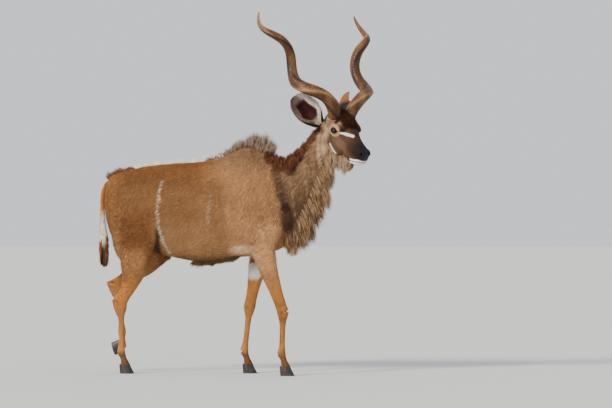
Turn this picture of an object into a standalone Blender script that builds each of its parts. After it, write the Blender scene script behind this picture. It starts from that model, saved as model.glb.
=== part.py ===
"""Greater kudu bull, life size, walking slowly, head turned to its right.

X runs from the rump to the breast, Y to the animal's left and Z up. The skin is lofted from
named stations, fused into one surface and parted by thin flat cuts into head, neck, torso, tail
and legs. Horns, ears, eyes and hooves are pieces of their own, set on what they grow from.
"""
import math

import bmesh
import bpy
import numpy as np
from mathutils import Matrix, Vector

# Driving dimensions, metres
GAP = 0.0003
HAIR_GAP = 0.00025
EYE_HEIGHT = 1.580
EYE_FORWARD = 0.788
EYE_ASIDE = -0.130
HEAD_TURN = math.radians(-38.1)
HEAD_DIP = math.radians(37.0)
EYE_RADIUS = 0.022
EYE_SPREAD = 0.084
EYE_DROP = 0.006
GAZE = (0.38, 1.0, 0.10)
EYE_OPENING = (0.0225, 0.0145)
EYE_SLANT = math.radians(34.0)
LID_THICKNESS = 0.005
HORN_BASE_RADIUS = 0.042
EAR_LENGTH = 0.250
EAR_HALF_WIDTH = 0.080
EAR_WALL = 0.005
HOOF_HEIGHT = 0.062
CLAW_LENGTH = 0.088
CLAW_WIDTH = 0.033

# Mesh density
BODY_VOXEL = 0.008
HEAD_VOXEL = 0.0045
BODY_TRIANGLES = 5900
HEAD_TRIANGLES = 2600
LOCK_ROWS = 5
LOCK_SINK = 0.020

# Torso stations: x, top, bottom, half width, height of the widest point, roof and keel exponents
TORSO = (
    (-0.868, 1.215, 1.080, 0.030, 1.15, 2.0, 2.0),
    (-0.855, 1.255, 0.985, 0.085, 1.12, 2.0, 2.0),
    (-0.820, 1.298, 0.890, 0.140, 1.09, 2.0, 2.1),
    (-0.755, 1.322, 0.830, 0.185, 1.07, 1.9, 2.1),
    (-0.660, 1.345, 0.800, 0.212, 1.06, 1.8, 2.1),
    (-0.550, 1.366, 0.785, 0.222, 1.05, 1.8, 2.1),
    (-0.400, 1.380, 0.752, 0.222, 1.04, 1.8, 2.1),
    (-0.200, 1.392, 0.722, 0.243, 1.02, 1.8, 2.1),
    (-0.070, 1.418, 0.735, 0.238, 1.02, 1.7, 2.0),
    (0.030, 1.472, 0.755, 0.220, 1.03, 1.5, 1.9),
    (0.130, 1.492, 0.762, 0.205, 1.04, 1.45, 1.8),
    (0.225, 1.452, 0.780, 0.188, 1.05, 1.5, 1.8),
    (0.310, 1.385, 0.805, 0.158, 1.05, 1.7, 1.9),
    (0.370, 1.290, 0.850, 0.115, 1.05, 1.9, 2.0),
    (0.405, 1.150, 0.950, 0.050, 1.05, 2.0, 2.0),
)

# Neck stations: nape x and z, throat x and z, y of the middle, half width
NECK = (
    (0.170, 1.400, 0.300, 0.840, 0.000, 0.150),
    (0.262, 1.400, 0.425, 0.885, 0.000, 0.142),
    (0.345, 1.388, 0.505, 1.030, -0.003, 0.130),
    (0.412, 1.408, 0.566, 1.160, -0.008, 0.118),
    (0.474, 1.462, 0.613, 1.278, -0.014, 0.108),
    (0.530, 1.528, 0.648, 1.375, -0.018, 0.100),
    (0.585, 1.600, 0.680, 1.452, -0.022, 0.092),
    (0.630, 1.660, 0.710, 1.520, -0.030, 0.070),
)

# Head stations along the face: forward, top, bottom, half width, widest height, roof, keel
HEAD = (
    (-0.175, 0.020, -0.135, 0.045, -0.040, 2.0, 2.0),
    (-0.150, 0.052, -0.160, 0.072, -0.030, 2.0, 2.0),
    (-0.100, 0.070, -0.180, 0.086, -0.010, 2.2, 1.8),
    (-0.040, 0.069, -0.188, 0.090, 0.005, 2.4, 1.7),
    (0.012, 0.060, -0.186, 0.088, 0.008, 2.4, 1.6),
    (0.060, 0.048, -0.175, 0.072, 0.000, 2.1, 1.6),
    (0.110, 0.038, -0.158, 0.057, -0.012, 1.9, 1.7),
    (0.160, 0.031, -0.141, 0.050, -0.025, 1.9, 1.9),
    (0.200, 0.027, -0.126, 0.049, -0.032, 2.0, 2.0),
    (0.230, 0.020, -0.114, 0.050, -0.032, 2.2, 2.3),
    (0.250, 0.010, -0.102, 0.046, -0.034, 2.3, 2.4),
    (0.264, -0.003, -0.086, 0.036, -0.036, 2.2, 2.2),
    (0.272, -0.020, -0.066, 0.018, -0.040, 2.0, 2.0),
)

# Leg joints: x, y, z of each, from the trunk down to the coronet
FORE_LEGS = {
    "right": ((0.345, -0.120, 1.020), (0.235, -0.132, 0.800), (0.370, -0.122, 0.412),
              (0.362, -0.118, 0.142), (0.386, -0.118, 0.062)),
    "left": ((0.300, 0.120, 1.020), (0.150, 0.132, 0.800), (0.078, 0.120, 0.438),
             (0.046, 0.114, 0.146), (0.070, 0.114, 0.062)),
}
HIND_LEGS = {
    "right": ((-0.640, -0.120, 1.100), (-0.550, -0.150, 0.795), (-0.722, -0.128, 0.462),
              (-0.721, -0.122, 0.140), (-0.697, -0.122, 0.062)),
    "left": ((-0.640, 0.120, 1.100), (-0.530, 0.150, 0.765), (-0.845, 0.128, 0.580),
             (-0.795, 0.120, 0.262), (-0.800, 0.120, 0.180)),
}

# Thickness along each bone: share of its length, shift forward, half depth, half width
BLADE_TOP = (0.110, 0.060, 1.400)
BLADE = ((-0.05, 0.0, 0.050, 0.030), (0.30, 0.0, 0.090, 0.045), (0.75, 0.0, 0.095, 0.050),
         (1.10, 0.0, 0.070, 0.045))
UPPER_ARM = ((-0.10, 0.00, 0.070, 0.045), (0.50, -0.02, 0.085, 0.050), (1.05, 0.01, 0.075, 0.045))
FOREARM = ((-0.10, 0.01, 0.080, 0.052), (0.10, 0.01, 0.078, 0.050), (0.35, 0.00, 0.063, 0.042),
           (0.65, 0.00, 0.046, 0.034), (0.88, 0.00, 0.040, 0.031), (1.00, 0.00, 0.042, 0.034))
FORE_CANNON = ((0.00, 0.000, 0.042, 0.034), (0.14, 0.000, 0.034, 0.028), (0.30, 0.0, 0.0235, 0.021),
               (0.75, 0.0, 0.022, 0.020), (0.90, -0.002, 0.027, 0.024), (1.00, -0.004, 0.032, 0.027))
THIGH = ((-0.10, 0.00, 0.140, 0.085), (0.20, -0.01, 0.175, 0.098), (0.60, -0.03, 0.175, 0.092),
         (0.90, -0.05, 0.150, 0.072), (1.12, -0.05, 0.105, 0.045))
SHANK = ((-0.12, -0.075, 0.125, 0.066), (0.10, -0.065, 0.125, 0.066), (0.35, -0.032, 0.102, 0.054),
         (0.62, -0.005, 0.063, 0.039), (0.85, 0.000, 0.043, 0.030), (1.00, 0.000, 0.040, 0.034))
TENDON = ((-0.10, 0.0, 0.022, 0.018), (0.50, 0.0, 0.015, 0.014), (1.08, 0.0, 0.018, 0.016))
HEEL_BONE = ((-0.12, 0.0, 0.018, 0.017), (0.50, 0.0, 0.020, 0.018), (1.10, 0.0, 0.014, 0.016))
HEEL_BACK = 0.046
HEEL_RISE = 0.012
HEEL_FOOT = (0.022, 0.075)
TENDON_START = 0.55
TENDON_BACK = 0.03
HIND_CANNON = ((0.00, 0.000, 0.042, 0.035), (0.14, 0.004, 0.034, 0.029), (0.30, 0.0, 0.0235, 0.020),
               (0.75, 0.0, 0.021, 0.019), (0.90, -0.002, 0.026, 0.023), (1.00, -0.004, 0.031, 0.026))
PASTERN = ((0.00, -0.004, 0.031, 0.026), (0.50, 0.000, 0.023, 0.024), (0.85, 0.000, 0.029, 0.030),
           (1.30, 0.000, 0.036, 0.034))

# Horn line in the head's frame
HORN_ROOT = (-0.080, 0.058, 0.040)
HORN_BASE = (-0.087, 0.096, 0.057)
HORN_TIP = (-0.727, 0.465, 0.417)
HORN_ROOT_SHARE = 0.2
HORN_TURNS = -1.423
HORN_PHASE = 1.630
HORN_PACE = 0.808
HORN_COIL_START = 0.030
HORN_COIL_END = -0.139
HORN_COIL_SWELL = 0.118
HORN_FLATTEN = 0.80
HORN_BOW = (0.002, -0.009, 0.007)
HORN_RINGS = 27
HORN_SIDES = 10

# Mouth line on the left half of the muzzle, from its corner to the front, in the head's frame
MOUTH = ((0.176, 0.026, -0.114), (0.205, 0.034, -0.098), (0.232, 0.038, -0.083),
         (0.252, 0.036, -0.070), (0.266, 0.022, -0.062), (0.273, 0.000, -0.060))
MOUTH_CUT = (0.008, 0.0022)
LIP_OFFSET = 0.0075
LIP_SIZE = (0.0065, 0.0065)
NOSTRIL = (0.256, 0.034, -0.002)
NOSTRIL_RADII = (0.011, 0.007, 0.0065)

# Swellings of the left half of the head, in its frame: place, then radii
BROW = ((-0.006, 0.074, 0.022), (0.060, 0.029, 0.025))
CHEEK = ((0.000, 0.044, -0.085), (0.110, 0.029, 0.078))
NOSTRIL_WING = ((0.236, 0.031, -0.008), (0.030, 0.020, 0.021))

# Ear root in the head's frame, for the left side, and where each ear points and opens
EAR_ROOT = (-0.152, 0.104, -0.055)
EAR_AIMS = {
    "right": ((-0.70, -0.60, 0.40), (0.66, -0.55, 0.50)),
    "left": ((-0.80, 0.45, 0.49), (0.55, 0.75, 0.30)),
}
EAR_ROWS = 11
EAR_COLUMNS = 9
EAR_SINK = 0.02
EAR_BASE_SHARE = 0.34
EAR_WIDEST = 0.5
EAR_ROLL_BASE = math.radians(165)
EAR_ROLL_TIP = math.radians(70)
EAR_UNROLLED = 0.62
EAR_HOLLOW = 0.4

LIFTED_PITCH = math.radians(72)

# Leg room in front view, for the left side: y and z corners, and the reach along x
FORE_ROOM = ((0.002, 0.745), (0.40, 0.985), (0.40, -0.10), (0.002, -0.10))
HIND_ROOM = ((0.002, 0.765), (0.40, 1.100), (0.40, -0.10), (0.002, -0.10))
ROOM_REACH = {"fore": (-0.02, 0.60), "hind": (-1.20, -0.42)}

# Cuts: a point and the direction of the part in front
NECK_CUT = ((0.345, 0, 1.06), (1.0, 0, 0.20))
HEAD_CUT = ((0.650, -0.030, 1.560), (0.965, -0.258, -0.050))

# Hair lines in side view: root x and z, tip x and z, from back to front or top to bottom
CREST = ((-0.160, 1.395, -0.165, 1.425), (-0.050, 1.430, -0.050, 1.478), (0.050, 1.480, 0.065, 1.548),
         (0.130, 1.488, 0.165, 1.590), (0.200, 1.462, 0.245, 1.578), (0.262, 1.420, 0.335, 1.530))
NAPE = ((0.350, 1.380, 0.345, 1.435), (0.412, 1.400, 0.385, 1.462), (0.474, 1.455, 0.440, 1.512),
        (0.530, 1.520, 0.495, 1.565), (0.580, 1.588, 0.545, 1.618))
FRINGE = ((0.645, 1.380, 0.700, 1.235), (0.615, 1.290, 0.690, 1.130), (0.585, 1.210, 0.678, 1.020),
          (0.550, 1.120, 0.650, 0.910), (0.510, 1.040, 0.600, 0.830), (0.465, 0.965, 0.540, 0.765),
          (0.425, 0.915, 0.475, 0.735), (0.385, 0.880, 0.405, 0.720))
BEARD = ((0.850, 1.385, 0.846, 1.320), (0.800, 1.396, 0.786, 1.265), (0.745, 1.420, 0.728, 1.295))
BEARD_TURN = 0.70
BELLY = ((0.020, 0.760, -0.045, 0.705), (-0.110, 0.745, -0.175, 0.698), (-0.240, 0.745, -0.300, 0.703))
TUFT = ((-0.885, 0.880, -0.884, 0.700), (-0.880, 0.820, -0.876, 0.690))

# Locks along each hair line: count, spread to the sides, width, thickness, bow, seed
CREST_LOCKS = (20, 0.013, 0.046, 0.010, -0.10, 3)
NAPE_LOCKS = (14, 0.014, 0.044, 0.010, 0.12, 1)
NAPE_MIDDLE = -0.014
FRINGE_LOCKS = (28, 0.030, 0.050, 0.014, -0.08, 2)
BEARD_LOCKS = (8, 0.012, 0.028, 0.010, 0.05, 4)
BEARD_MIDDLE = -0.090
BELLY_LOCKS = (8, 0.020, 0.042, 0.012, 0.05, 6)
TUFT_LOCKS = (7, 0.020, 0.032, 0.012, 0.05, 5)

# Tail stations: x, z, half depth, half width
TAIL = ((-0.800, 1.262, 0.024, 0.032), (-0.850, 1.250, 0.024, 0.030), (-0.886, 1.205, 0.024, 0.028),
        (-0.894, 1.120, 0.022, 0.027), (-0.893, 1.000, 0.025, 0.030), (-0.887, 0.930, 0.030, 0.034),
        (-0.881, 0.868, 0.034, 0.036), (-0.877, 0.800, 0.028, 0.030), (-0.875, 0.745, 0.018, 0.020),
        (-0.880, 0.700, 0.005, 0.006))

# Finishes: colour, roughness
COATS = {
    "torso": ((0.30, 0.20, 0.12), 0.85),
    "neck": ((0.27, 0.19, 0.13), 0.85),
    "head": ((0.26, 0.16, 0.09), 0.80),
    "tail": ((0.32, 0.19, 0.10), 0.85),
    "leg": ((0.42, 0.24, 0.11), 0.80),
    "ear": ((0.40, 0.26, 0.18), 0.80),
    "eye": ((0.02, 0.01, 0.008), 0.10),
    "horn": ((0.16, 0.10, 0.06), 0.45),
    "hoof": ((0.04, 0.035, 0.03), 0.50),
}


def head_frame():
    """Place of the head: origin midway between the eyes, X along the face, Y left, Z up."""
    turn = Matrix.Rotation(HEAD_TURN, 4, "Z") @ Matrix.Rotation(HEAD_DIP, 4, "Y")
    return Matrix.Translation((EYE_FORWARD, EYE_ASIDE, EYE_HEIGHT)) @ turn


def smooth_rows(rows, count):
    """Station values blended by Catmull-Rom spans into an even number of rows."""
    rows = np.array(rows, dtype=float)
    ends = np.vstack([2 * rows[0] - rows[1], rows, 2 * rows[-1] - rows[-2]])
    place = np.linspace(0, len(rows) - 1, count)
    span = np.minimum(place.astype(int), len(rows) - 2)
    u = (place - span)[:, None]
    a, b, c, d = ends[span], ends[span + 1], ends[span + 2], ends[span + 3]
    return 0.5 * (2 * b + (c - a) * u + (2 * a - 5 * b + 4 * c - d) * u ** 2
                  + (3 * b - a - 3 * c + d) * u ** 3)


def section(centre, side, up, half_width, rise, drop, roof=2.0, keel=2.0, sides=16):
    """Closed egg: a superellipse whose upper and lower halves have their own height and power."""
    angle = np.linspace(0, 2 * math.pi, sides, endpoint=False)
    across, along = np.sin(angle), np.cos(angle)
    power = 2 / np.where(along > 0, roof, keel)
    width = half_width * np.sign(across) * np.abs(across) ** power
    height = np.where(along > 0, rise, -drop) * np.abs(along) ** power
    return np.asarray(centre) + width[:, None] * np.asarray(side) + height[:, None] * np.asarray(up)


def new_object(name, mesh, collection):
    """Object that holds a mesh, linked to one collection."""
    piece = bpy.data.objects.new(name, mesh)
    collection.objects.link(piece)
    return piece


def loft(name, rings, collection):
    """Closed skin through rings of equal count, with a flat cap on each end."""
    rings = np.asarray(rings)
    rows, sides = rings.shape[:2]
    faces = [(r * sides + s, r * sides + (s + 1) % sides,
              (r + 1) * sides + (s + 1) % sides, (r + 1) * sides + s)
             for r in range(rows - 1) for s in range(sides)]
    faces += [tuple(range(sides)), tuple(range((rows - 1) * sides, rows * sides))]
    mesh = bpy.data.meshes.new(name)
    mesh.from_pydata(rings.reshape(-1, 3).tolist(), [], faces)
    skin = bmesh.new()
    skin.from_mesh(mesh)
    bmesh.ops.recalc_face_normals(skin, faces=skin.faces)
    bmesh.ops.triangulate(skin, faces=skin.faces)
    skin.to_mesh(mesh)
    skin.free()
    return new_object(name, mesh, collection)


def ellipsoid(name, matrix, radii, collection, detail=3):
    """Ball stretched to three radii."""
    mesh = bpy.data.meshes.new(name)
    ball = bmesh.new()
    shape = matrix @ Matrix.Diagonal((*radii, 1.0))
    bmesh.ops.create_icosphere(ball, subdivisions=detail, radius=1.0, matrix=shape)
    ball.to_mesh(mesh)
    ball.free()
    return new_object(name, mesh, collection)


def torso_form(collection):
    """Trunk from rump to breast, sections upright."""
    rows = smooth_rows(TORSO, 44)
    rings = [section((x, 0, wide), (0, 1, 0), (0, 0, 1), half, top - wide, wide - low, roof, keel, 28)
             for x, top, low, half, wide, roof, keel in rows]
    return loft("torso_form", rings, collection)


def neck_form(collection):
    """Neck between its nape line and its throat line."""
    rings = []
    for nape_x, nape_z, throat_x, throat_z, y, half in smooth_rows(NECK, 24):
        nape, throat = np.array((nape_x, y, nape_z)), np.array((throat_x, y, throat_z))
        middle, reach = (nape + throat) / 2, (nape - throat) / 2
        size = np.linalg.norm(reach)
        rings.append(section(middle, (0, 1, 0), reach / size, half, size, size, 1.9, 1.9, 24))
    return loft("neck_form", rings, collection)


def head_form(collection):
    """Skull and muzzle, sections square to the face."""
    rows = smooth_rows(HEAD, 30)
    rings = [section((forward, 0, wide), (0, 1, 0), (0, 0, 1), half, top - wide, wide - low,
                     roof, keel, 24)
             for forward, top, low, half, wide, roof, keel in rows]
    piece = loft("head_form", rings, collection)
    piece.data.transform(head_frame())
    return piece


def bone_rings(start, end, profile, sides=14):
    """Rings square to a bone, by shares of its length."""
    start, end = np.array(start), np.array(end)
    line = end - start
    length = np.linalg.norm(line)
    line = line / length
    front = np.cross((0.0, 1.0, 0.0), line)
    front *= np.sign(front[0]) / np.linalg.norm(front)
    side = np.cross(front, line)
    rows = smooth_rows(profile, 3 * len(profile) - 2)
    return [section(start + line * share * length + front * shift, side, front, wide, deep, deep,
                    2.1, 2.1, sides)
            for share, shift, deep, wide in rows]


def fore_leg_forms(side, collection):
    """Shoulder blade, upper arm, forearm, cannon and pastern of one foreleg."""
    shoulder, elbow, knee, fetlock, coronet = FORE_LEGS[side]
    blade_top = np.array(BLADE_TOP) * (1, math.copysign(1, shoulder[1]), 1)
    forms = {
        "blade": bone_rings(blade_top, shoulder, BLADE),
        "upper_arm": bone_rings(shoulder, elbow, UPPER_ARM),
        "forearm": bone_rings(elbow, knee, FOREARM),
        "cannon": bone_rings(knee, fetlock, FORE_CANNON),
        "pastern": bone_rings(fetlock, coronet, PASTERN),
    }
    return [loft(f"fore_{bone}_{side}", rings, collection) for bone, rings in forms.items()]


def hind_leg_forms(side, collection):
    """Thigh, shank, heel, cannon and pastern of one hind leg."""
    hip, stifle, hock, fetlock, coronet = (np.array(joint) for joint in HIND_LEGS[side])
    cannon = (fetlock - hock) / np.linalg.norm(fetlock - hock)
    back = np.cross((0.0, 1.0, 0.0), cannon)
    back *= -np.sign(back[0])
    heel = hock + HEEL_BACK * back - HEEL_RISE * cannon
    calf = stifle + TENDON_START * (hock - stifle) + TENDON_BACK * back
    foot = hock + HEEL_FOOT[0] * back + HEEL_FOOT[1] * cannon
    forms = {
        "thigh": bone_rings(hip, stifle, THIGH),
        "shank": bone_rings(stifle, hock, SHANK),
        "tendon": bone_rings(calf, heel, TENDON),
        "heel": bone_rings(heel, foot, HEEL_BONE),
        "cannon": bone_rings(hock, fetlock, HIND_CANNON),
        "pastern": bone_rings(fetlock, coronet, PASTERN),
    }
    return [loft(f"hind_{bone}_{side}", rings, collection) for bone, rings in forms.items()]


def applied(piece):
    """Piece with its modifiers made real."""
    depsgraph = bpy.context.evaluated_depsgraph_get()
    mesh = bpy.data.meshes.new_from_object(piece.evaluated_get(depsgraph))
    old = piece.data
    piece.modifiers.clear()
    piece.data = mesh
    bpy.data.meshes.remove(old)
    return piece


def fused(name, pieces, voxel, triangles, collection, light=4, soft_above=None):
    """Pieces melted into one skin on a grid, smoothed and thinned to a number of triangles."""
    whole = bmesh.new()
    for piece in pieces:
        whole.from_mesh(piece.data)
    mesh = bpy.data.meshes.new(name)
    whole.to_mesh(mesh)
    whole.free()
    skin = new_object(name, mesh, collection)
    grid = skin.modifiers.new("grid", "REMESH")
    grid.mode = "VOXEL"
    grid.voxel_size = voxel
    applied(skin)
    smooth = skin.modifiers.new("smooth", "SMOOTH")
    smooth.factor = 0.5
    smooth.iterations = light
    if soft_above is not None:
        height = np.empty(len(skin.data.vertices) * 3)
        skin.data.vertices.foreach_get("co", height)
        upper = skin.vertex_groups.new(name="upper")
        for index, z in enumerate(height[2::3]):
            upper.add([index], min(max((z - soft_above) / 0.15, 0), 1), "REPLACE")
        deep = skin.modifiers.new("deep", "SMOOTH")
        deep.factor = 0.5
        deep.iterations = 30
        deep.vertex_group = "upper"
    applied(skin)
    thin = skin.modifiers.new("thin", "DECIMATE")
    thin.ratio = triangles / (2 * len(skin.data.polygons))
    thin.use_collapse_triangulate = True
    return largest(applied(skin))


def largest(piece):
    """Piece with only its largest closed surface."""
    skin = bmesh.new()
    skin.from_mesh(piece.data)
    bmesh.ops.triangulate(skin, faces=skin.faces)
    left = set(skin.faces)
    shells = []
    while left:
        stack = [left.pop()]
        shell = list(stack)
        while stack:
            for edge in stack.pop().edges:
                for face in edge.link_faces:
                    if face in left:
                        left.remove(face)
                        stack.append(face)
                        shell.append(face)
        volume = sum(face.verts[0].co.dot(face.verts[1].co.cross(face.verts[2].co)) for face in shell)
        shells.append((abs(volume), len(shells), shell))
    keep = set(max(shells)[2])
    bmesh.ops.delete(skin, geom=[face for face in skin.faces if face not in keep], context="FACES")
    skin.to_mesh(piece.data)
    skin.free()
    return piece


def carve(piece, cutter, operation="DIFFERENCE", solver="EXACT"):
    """Piece cut by, or kept only inside, another closed mesh."""
    tool = piece.modifiers.new("carve", "BOOLEAN")
    tool.operation = operation
    tool.solver = solver
    tool.object = cutter
    return largest(applied(piece))


def beyond(name, point, normal, collection, size=3.0):
    """Large box that fills the side of a plane which its normal points to."""
    normal = Vector(normal).normalized()
    turn = normal.to_track_quat("Z", "Y").to_matrix().to_4x4()
    place = Matrix.Translation(Vector(point) + normal * size / 2) @ turn
    mesh = bpy.data.meshes.new(name)
    box = bmesh.new()
    bmesh.ops.create_cube(box, size=size, matrix=place)
    box.to_mesh(mesh)
    box.free()
    return new_object(name, mesh, collection)


def parted(piece, name, point, normal, parts, cutters):
    """Two pieces from one, a gap apart: what lies before the plane, and what lies behind it."""
    normal = Vector(normal).normalized()
    half = normal * GAP / 2
    front = new_object(name, piece.data.copy(), parts)
    carve(front, beyond("behind", Vector(point) + half, -normal, cutters))
    carve(piece, beyond("before", Vector(point) - half, normal, cutters))
    return front


def wedge(name, outline, x_low, x_high, grow, collection):
    """Prism along X over a convex outline of y and z, grown outwards on every side."""
    outline = np.array(outline, dtype=float)
    centre = outline.mean(axis=0)
    count = len(outline)
    edges = np.roll(outline, -1, axis=0) - outline
    out = np.stack([edges[:, 1], -edges[:, 0]], axis=1)
    out /= np.linalg.norm(out, axis=1)[:, None]
    out *= np.sign(np.sum(out * (outline - centre), axis=1))[:, None]
    grown = []
    for corner in range(count):
        before, after = out[corner - 1], out[corner]
        shift = np.linalg.solve(np.array([before, after]), np.array([grow, grow]))
        grown.append(outline[corner] + shift)
    rings = [[(x, y, z) for y, z in grown] for x in (x_low - grow, x_high + grow)]
    return loft(name, rings, collection)


def finish(piece, name, coat):
    """Name and material of a finished node."""
    colour, roughness = COATS[coat]
    piece.name = name
    piece.data.name = name
    material = bpy.data.materials.new(name)
    material.use_nodes = True
    shader = material.node_tree.nodes["Principled BSDF"]
    shader.inputs["Base Color"].default_value = (*colour, 1.0)
    shader.inputs["Roughness"].default_value = roughness
    piece.data.materials.clear()
    piece.data.materials.append(material)
    return piece


def horn_line(count):
    """Centre line of the left horn in the head's frame: a widening turn round a tilted, bowed axis."""
    base, tip = np.array(HORN_BASE), np.array(HORN_TIP)
    axis = tip - base
    axis /= np.linalg.norm(axis)
    upright = np.cross((0.0, 1.0, 0.0), axis)
    upright /= np.linalg.norm(upright)
    aside = np.cross(upright, axis)
    t = np.linspace(0, 1, count)[:, None]
    swell = np.sin(math.pi * t)
    turn = HORN_PHASE + 2 * math.pi * HORN_TURNS * t ** HORN_PACE
    radius = HORN_COIL_START + (HORN_COIL_END - HORN_COIL_START) * t + HORN_COIL_SWELL * swell
    core = base + (tip - base) * t
    out = np.cos(turn) * upright + HORN_FLATTEN * np.sin(turn) * aside
    line = core + radius * out + swell * np.array(HORN_BOW)
    line += (np.array(HORN_ROOT) - line[0]) * np.clip(1 - t / HORN_ROOT_SHARE, 0, 1) ** 2
    return line, out


def horn_form(name, mirror, collection):
    """One horn: an egg section with a keel on the outer side, swept along its line."""
    line, out = horn_line(HORN_RINGS)
    line[:, 1] *= mirror
    out[:, 1] *= mirror
    along = np.gradient(line, axis=0)
    along /= np.linalg.norm(along, axis=1)[:, None]
    out -= np.sum(out * along, axis=1)[:, None] * along
    out /= np.linalg.norm(out, axis=1)[:, None]
    reach = np.linalg.norm(np.diff(line, axis=0), axis=1).cumsum()
    share = np.concatenate([[0], reach / reach[-1]])
    radius = HORN_BASE_RADIUS * (1 - 0.36 * share - 0.58 * share ** 4)
    rings = [section(point, np.cross(a, o), o, r, 1.12 * r, 0.95 * r, 1.7, 2.0, HORN_SIDES)
             for point, a, o, r in zip(line, along, out, radius)]
    piece = loft(name, rings, collection)
    piece.data.transform(head_frame())
    return piece


def ear_form(name, side, direction, facing, collection):
    """Cupped ear: a leaf rolled round its own length, thickened inwards."""
    along = np.array(direction) / np.linalg.norm(direction)
    front = np.array(facing) - np.dot(facing, along) * along
    front /= np.linalg.norm(front)
    across = np.cross(along, front)
    root = np.array(EAR_ROOT) * (1, side, 1)
    points = []
    for t in np.linspace(0, 1, EAR_ROWS):
        spread = math.sin(math.pi / 2 * min(t / EAR_WIDEST, 1))
        half = EAR_HALF_WIDTH * (EAR_BASE_SHARE + (1 - EAR_BASE_SHARE) * spread)
        half *= math.sqrt(max(1 - t ** 5, 0.004))
        roll = EAR_ROLL_BASE + (EAR_ROLL_TIP - EAR_ROLL_BASE) * min(t / EAR_UNROLLED, 1)
        bend = half / math.sin(min(roll, math.pi / 2))
        for angle in np.linspace(-roll, roll, EAR_COLUMNS):
            points.append(root + along * (t * EAR_LENGTH - EAR_SINK) + across * bend * math.sin(angle)
                          - front * bend * (math.cos(angle) - EAR_HOLLOW))
    faces = []
    for r in range(EAR_ROWS - 1):
        for c in range(EAR_COLUMNS - 1):
            a, b = r * EAR_COLUMNS + c, (r + 1) * EAR_COLUMNS + c
            faces += [(a, a + 1, b + 1), (a, b + 1, b)]
    mesh = bpy.data.meshes.new(name)
    mesh.from_pydata([tuple(point) for point in points], [], faces)
    piece = new_object(name, mesh, collection)
    piece.data.transform(head_frame())
    wall = piece.modifiers.new("wall", "SOLIDIFY")
    wall.thickness = EAR_WALL
    wall.offset = 0.0
    return applied(piece)


def claw_form(name, place, side, collection):
    """One claw of a hoof: coronet above, longer pointed sole below, sole at the height of zero."""
    rings = []
    for share in (0.0, 0.45, 1.0):
        height = HOOF_HEIGHT * (1 - share)
        half = CLAW_LENGTH * (0.33 + 0.17 * share)
        shift = -0.006 + 0.020 * share
        width = CLAW_WIDTH * (0.44 + 0.06 * share)
        angle = np.linspace(0, 2 * math.pi, 12, endpoint=False)
        along = half * np.cos(angle)
        across = width * np.sign(np.sin(angle)) * np.abs(np.sin(angle)) ** 0.8
        across *= 1 - 0.35 * np.clip(np.cos(angle), 0, 1) ** 2
        inner = side * across < 0
        across = np.where(inner, 0.8 * across, across)
        middle = side * (CLAW_WIDTH * 0.42 + 0.002)
        rings.append(np.stack([along + shift, across + middle, np.full(12, height)], axis=1))
    piece = loft(name, rings, collection)
    piece.data.transform(place)
    return piece


def foot_place(coronet, pitch):
    """Place of a hoof whose coronet centre is given: origin on the sole below it, toe along X."""
    return (Matrix.Translation(coronet) @ Matrix.Rotation(pitch, 4, "Y")
            @ Matrix.Translation((0, 0, -HOOF_HEIGHT)))


def tail_form(collection):
    """Tail from its root to the end of its tuft."""
    rows = smooth_rows(TAIL, 15)
    middle = np.stack([rows[:, 0], np.zeros(len(rows)), rows[:, 1]], axis=1)
    along = np.gradient(middle, axis=0)
    along /= np.linalg.norm(along, axis=1)[:, None]
    rings = [section(point, (0, 1, 0), np.cross(a, (0, 1, 0)), wide, deep, deep, 2.0, 2.0, 8)
             for point, a, deep, wide in zip(middle, along, rows[:, 2], rows[:, 3])]
    return loft("tail_form", rings, collection)


def lock(line, flat, width, thickness, collection):
    """Flat lock with three sides along a bent line, widest near its middle and fine at its tip."""
    along = np.gradient(line, axis=0)
    along /= np.linalg.norm(along, axis=1)[:, None]
    share = np.linspace(0, 1, len(line))
    fullness = (0.75 + 0.25 * np.sin(math.pi * share)) * (1 - 0.97 * share ** 3.2)
    rings = []
    for point, a, full in zip(line, along, fullness):
        side = flat - np.dot(flat, a) * a
        side /= np.linalg.norm(side)
        out = np.cross(a, side)
        rings.append([point + width / 2 * full * side - thickness / 3 * full * out,
                      point - width / 2 * full * side - thickness / 3 * full * out,
                      point + thickness * 2 / 3 * full * out])
    return loft("lock", rings, collection)


def locks(rows, count, spread, width, thickness, bow, seed, collection, middle=0.0, lean=0.0):
    """Overlapping locks along a hair line, right, middle and left of it in turn, unlike in reach."""
    rng = np.random.default_rng(seed)
    lines = smooth_rows(rows, count)
    tangents = np.gradient(lines[:, :2], axis=0)
    forms = []
    for index, (root_x, root_z, tip_x, tip_z) in enumerate(lines):
        aside = spread * (index % 3 - 1)
        base = middle - lean * (root_x - rows[-1][0])
        root = np.array((root_x, base + aside, root_z))
        reach = np.array((tip_x - root_x, aside * rng.uniform(0.1, 0.7) - lean * (tip_x - root_x),
                          tip_z - root_z))
        reach *= rng.uniform(0.78, 1.06)
        length = np.linalg.norm(reach)
        t = np.linspace(-LOCK_SINK / length, 1, LOCK_ROWS)[:, None]
        droop = np.cross(reach, (0.0, 1.0, 0.0)) * bow * rng.uniform(0.6, 1.4)
        line = root + reach * t + droop * np.sin(math.pi * np.clip(t, 0, 1))
        flat = np.array((tangents[index, 0], rng.uniform(-0.5, 0.5) * np.linalg.norm(tangents[index]),
                         tangents[index, 1]))
        forms.append(lock(line, flat, width * rng.uniform(0.85, 1.15), thickness, collection))
    return forms


def grown(piece, distance, collection):
    """Copy of a piece pushed out along its own normals."""
    copy = new_object("grown", piece.data.copy(), collection)
    push = copy.modifiers.new("push", "DISPLACE")
    push.strength = distance
    push.mid_level = 0.0
    return applied(copy)


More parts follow.
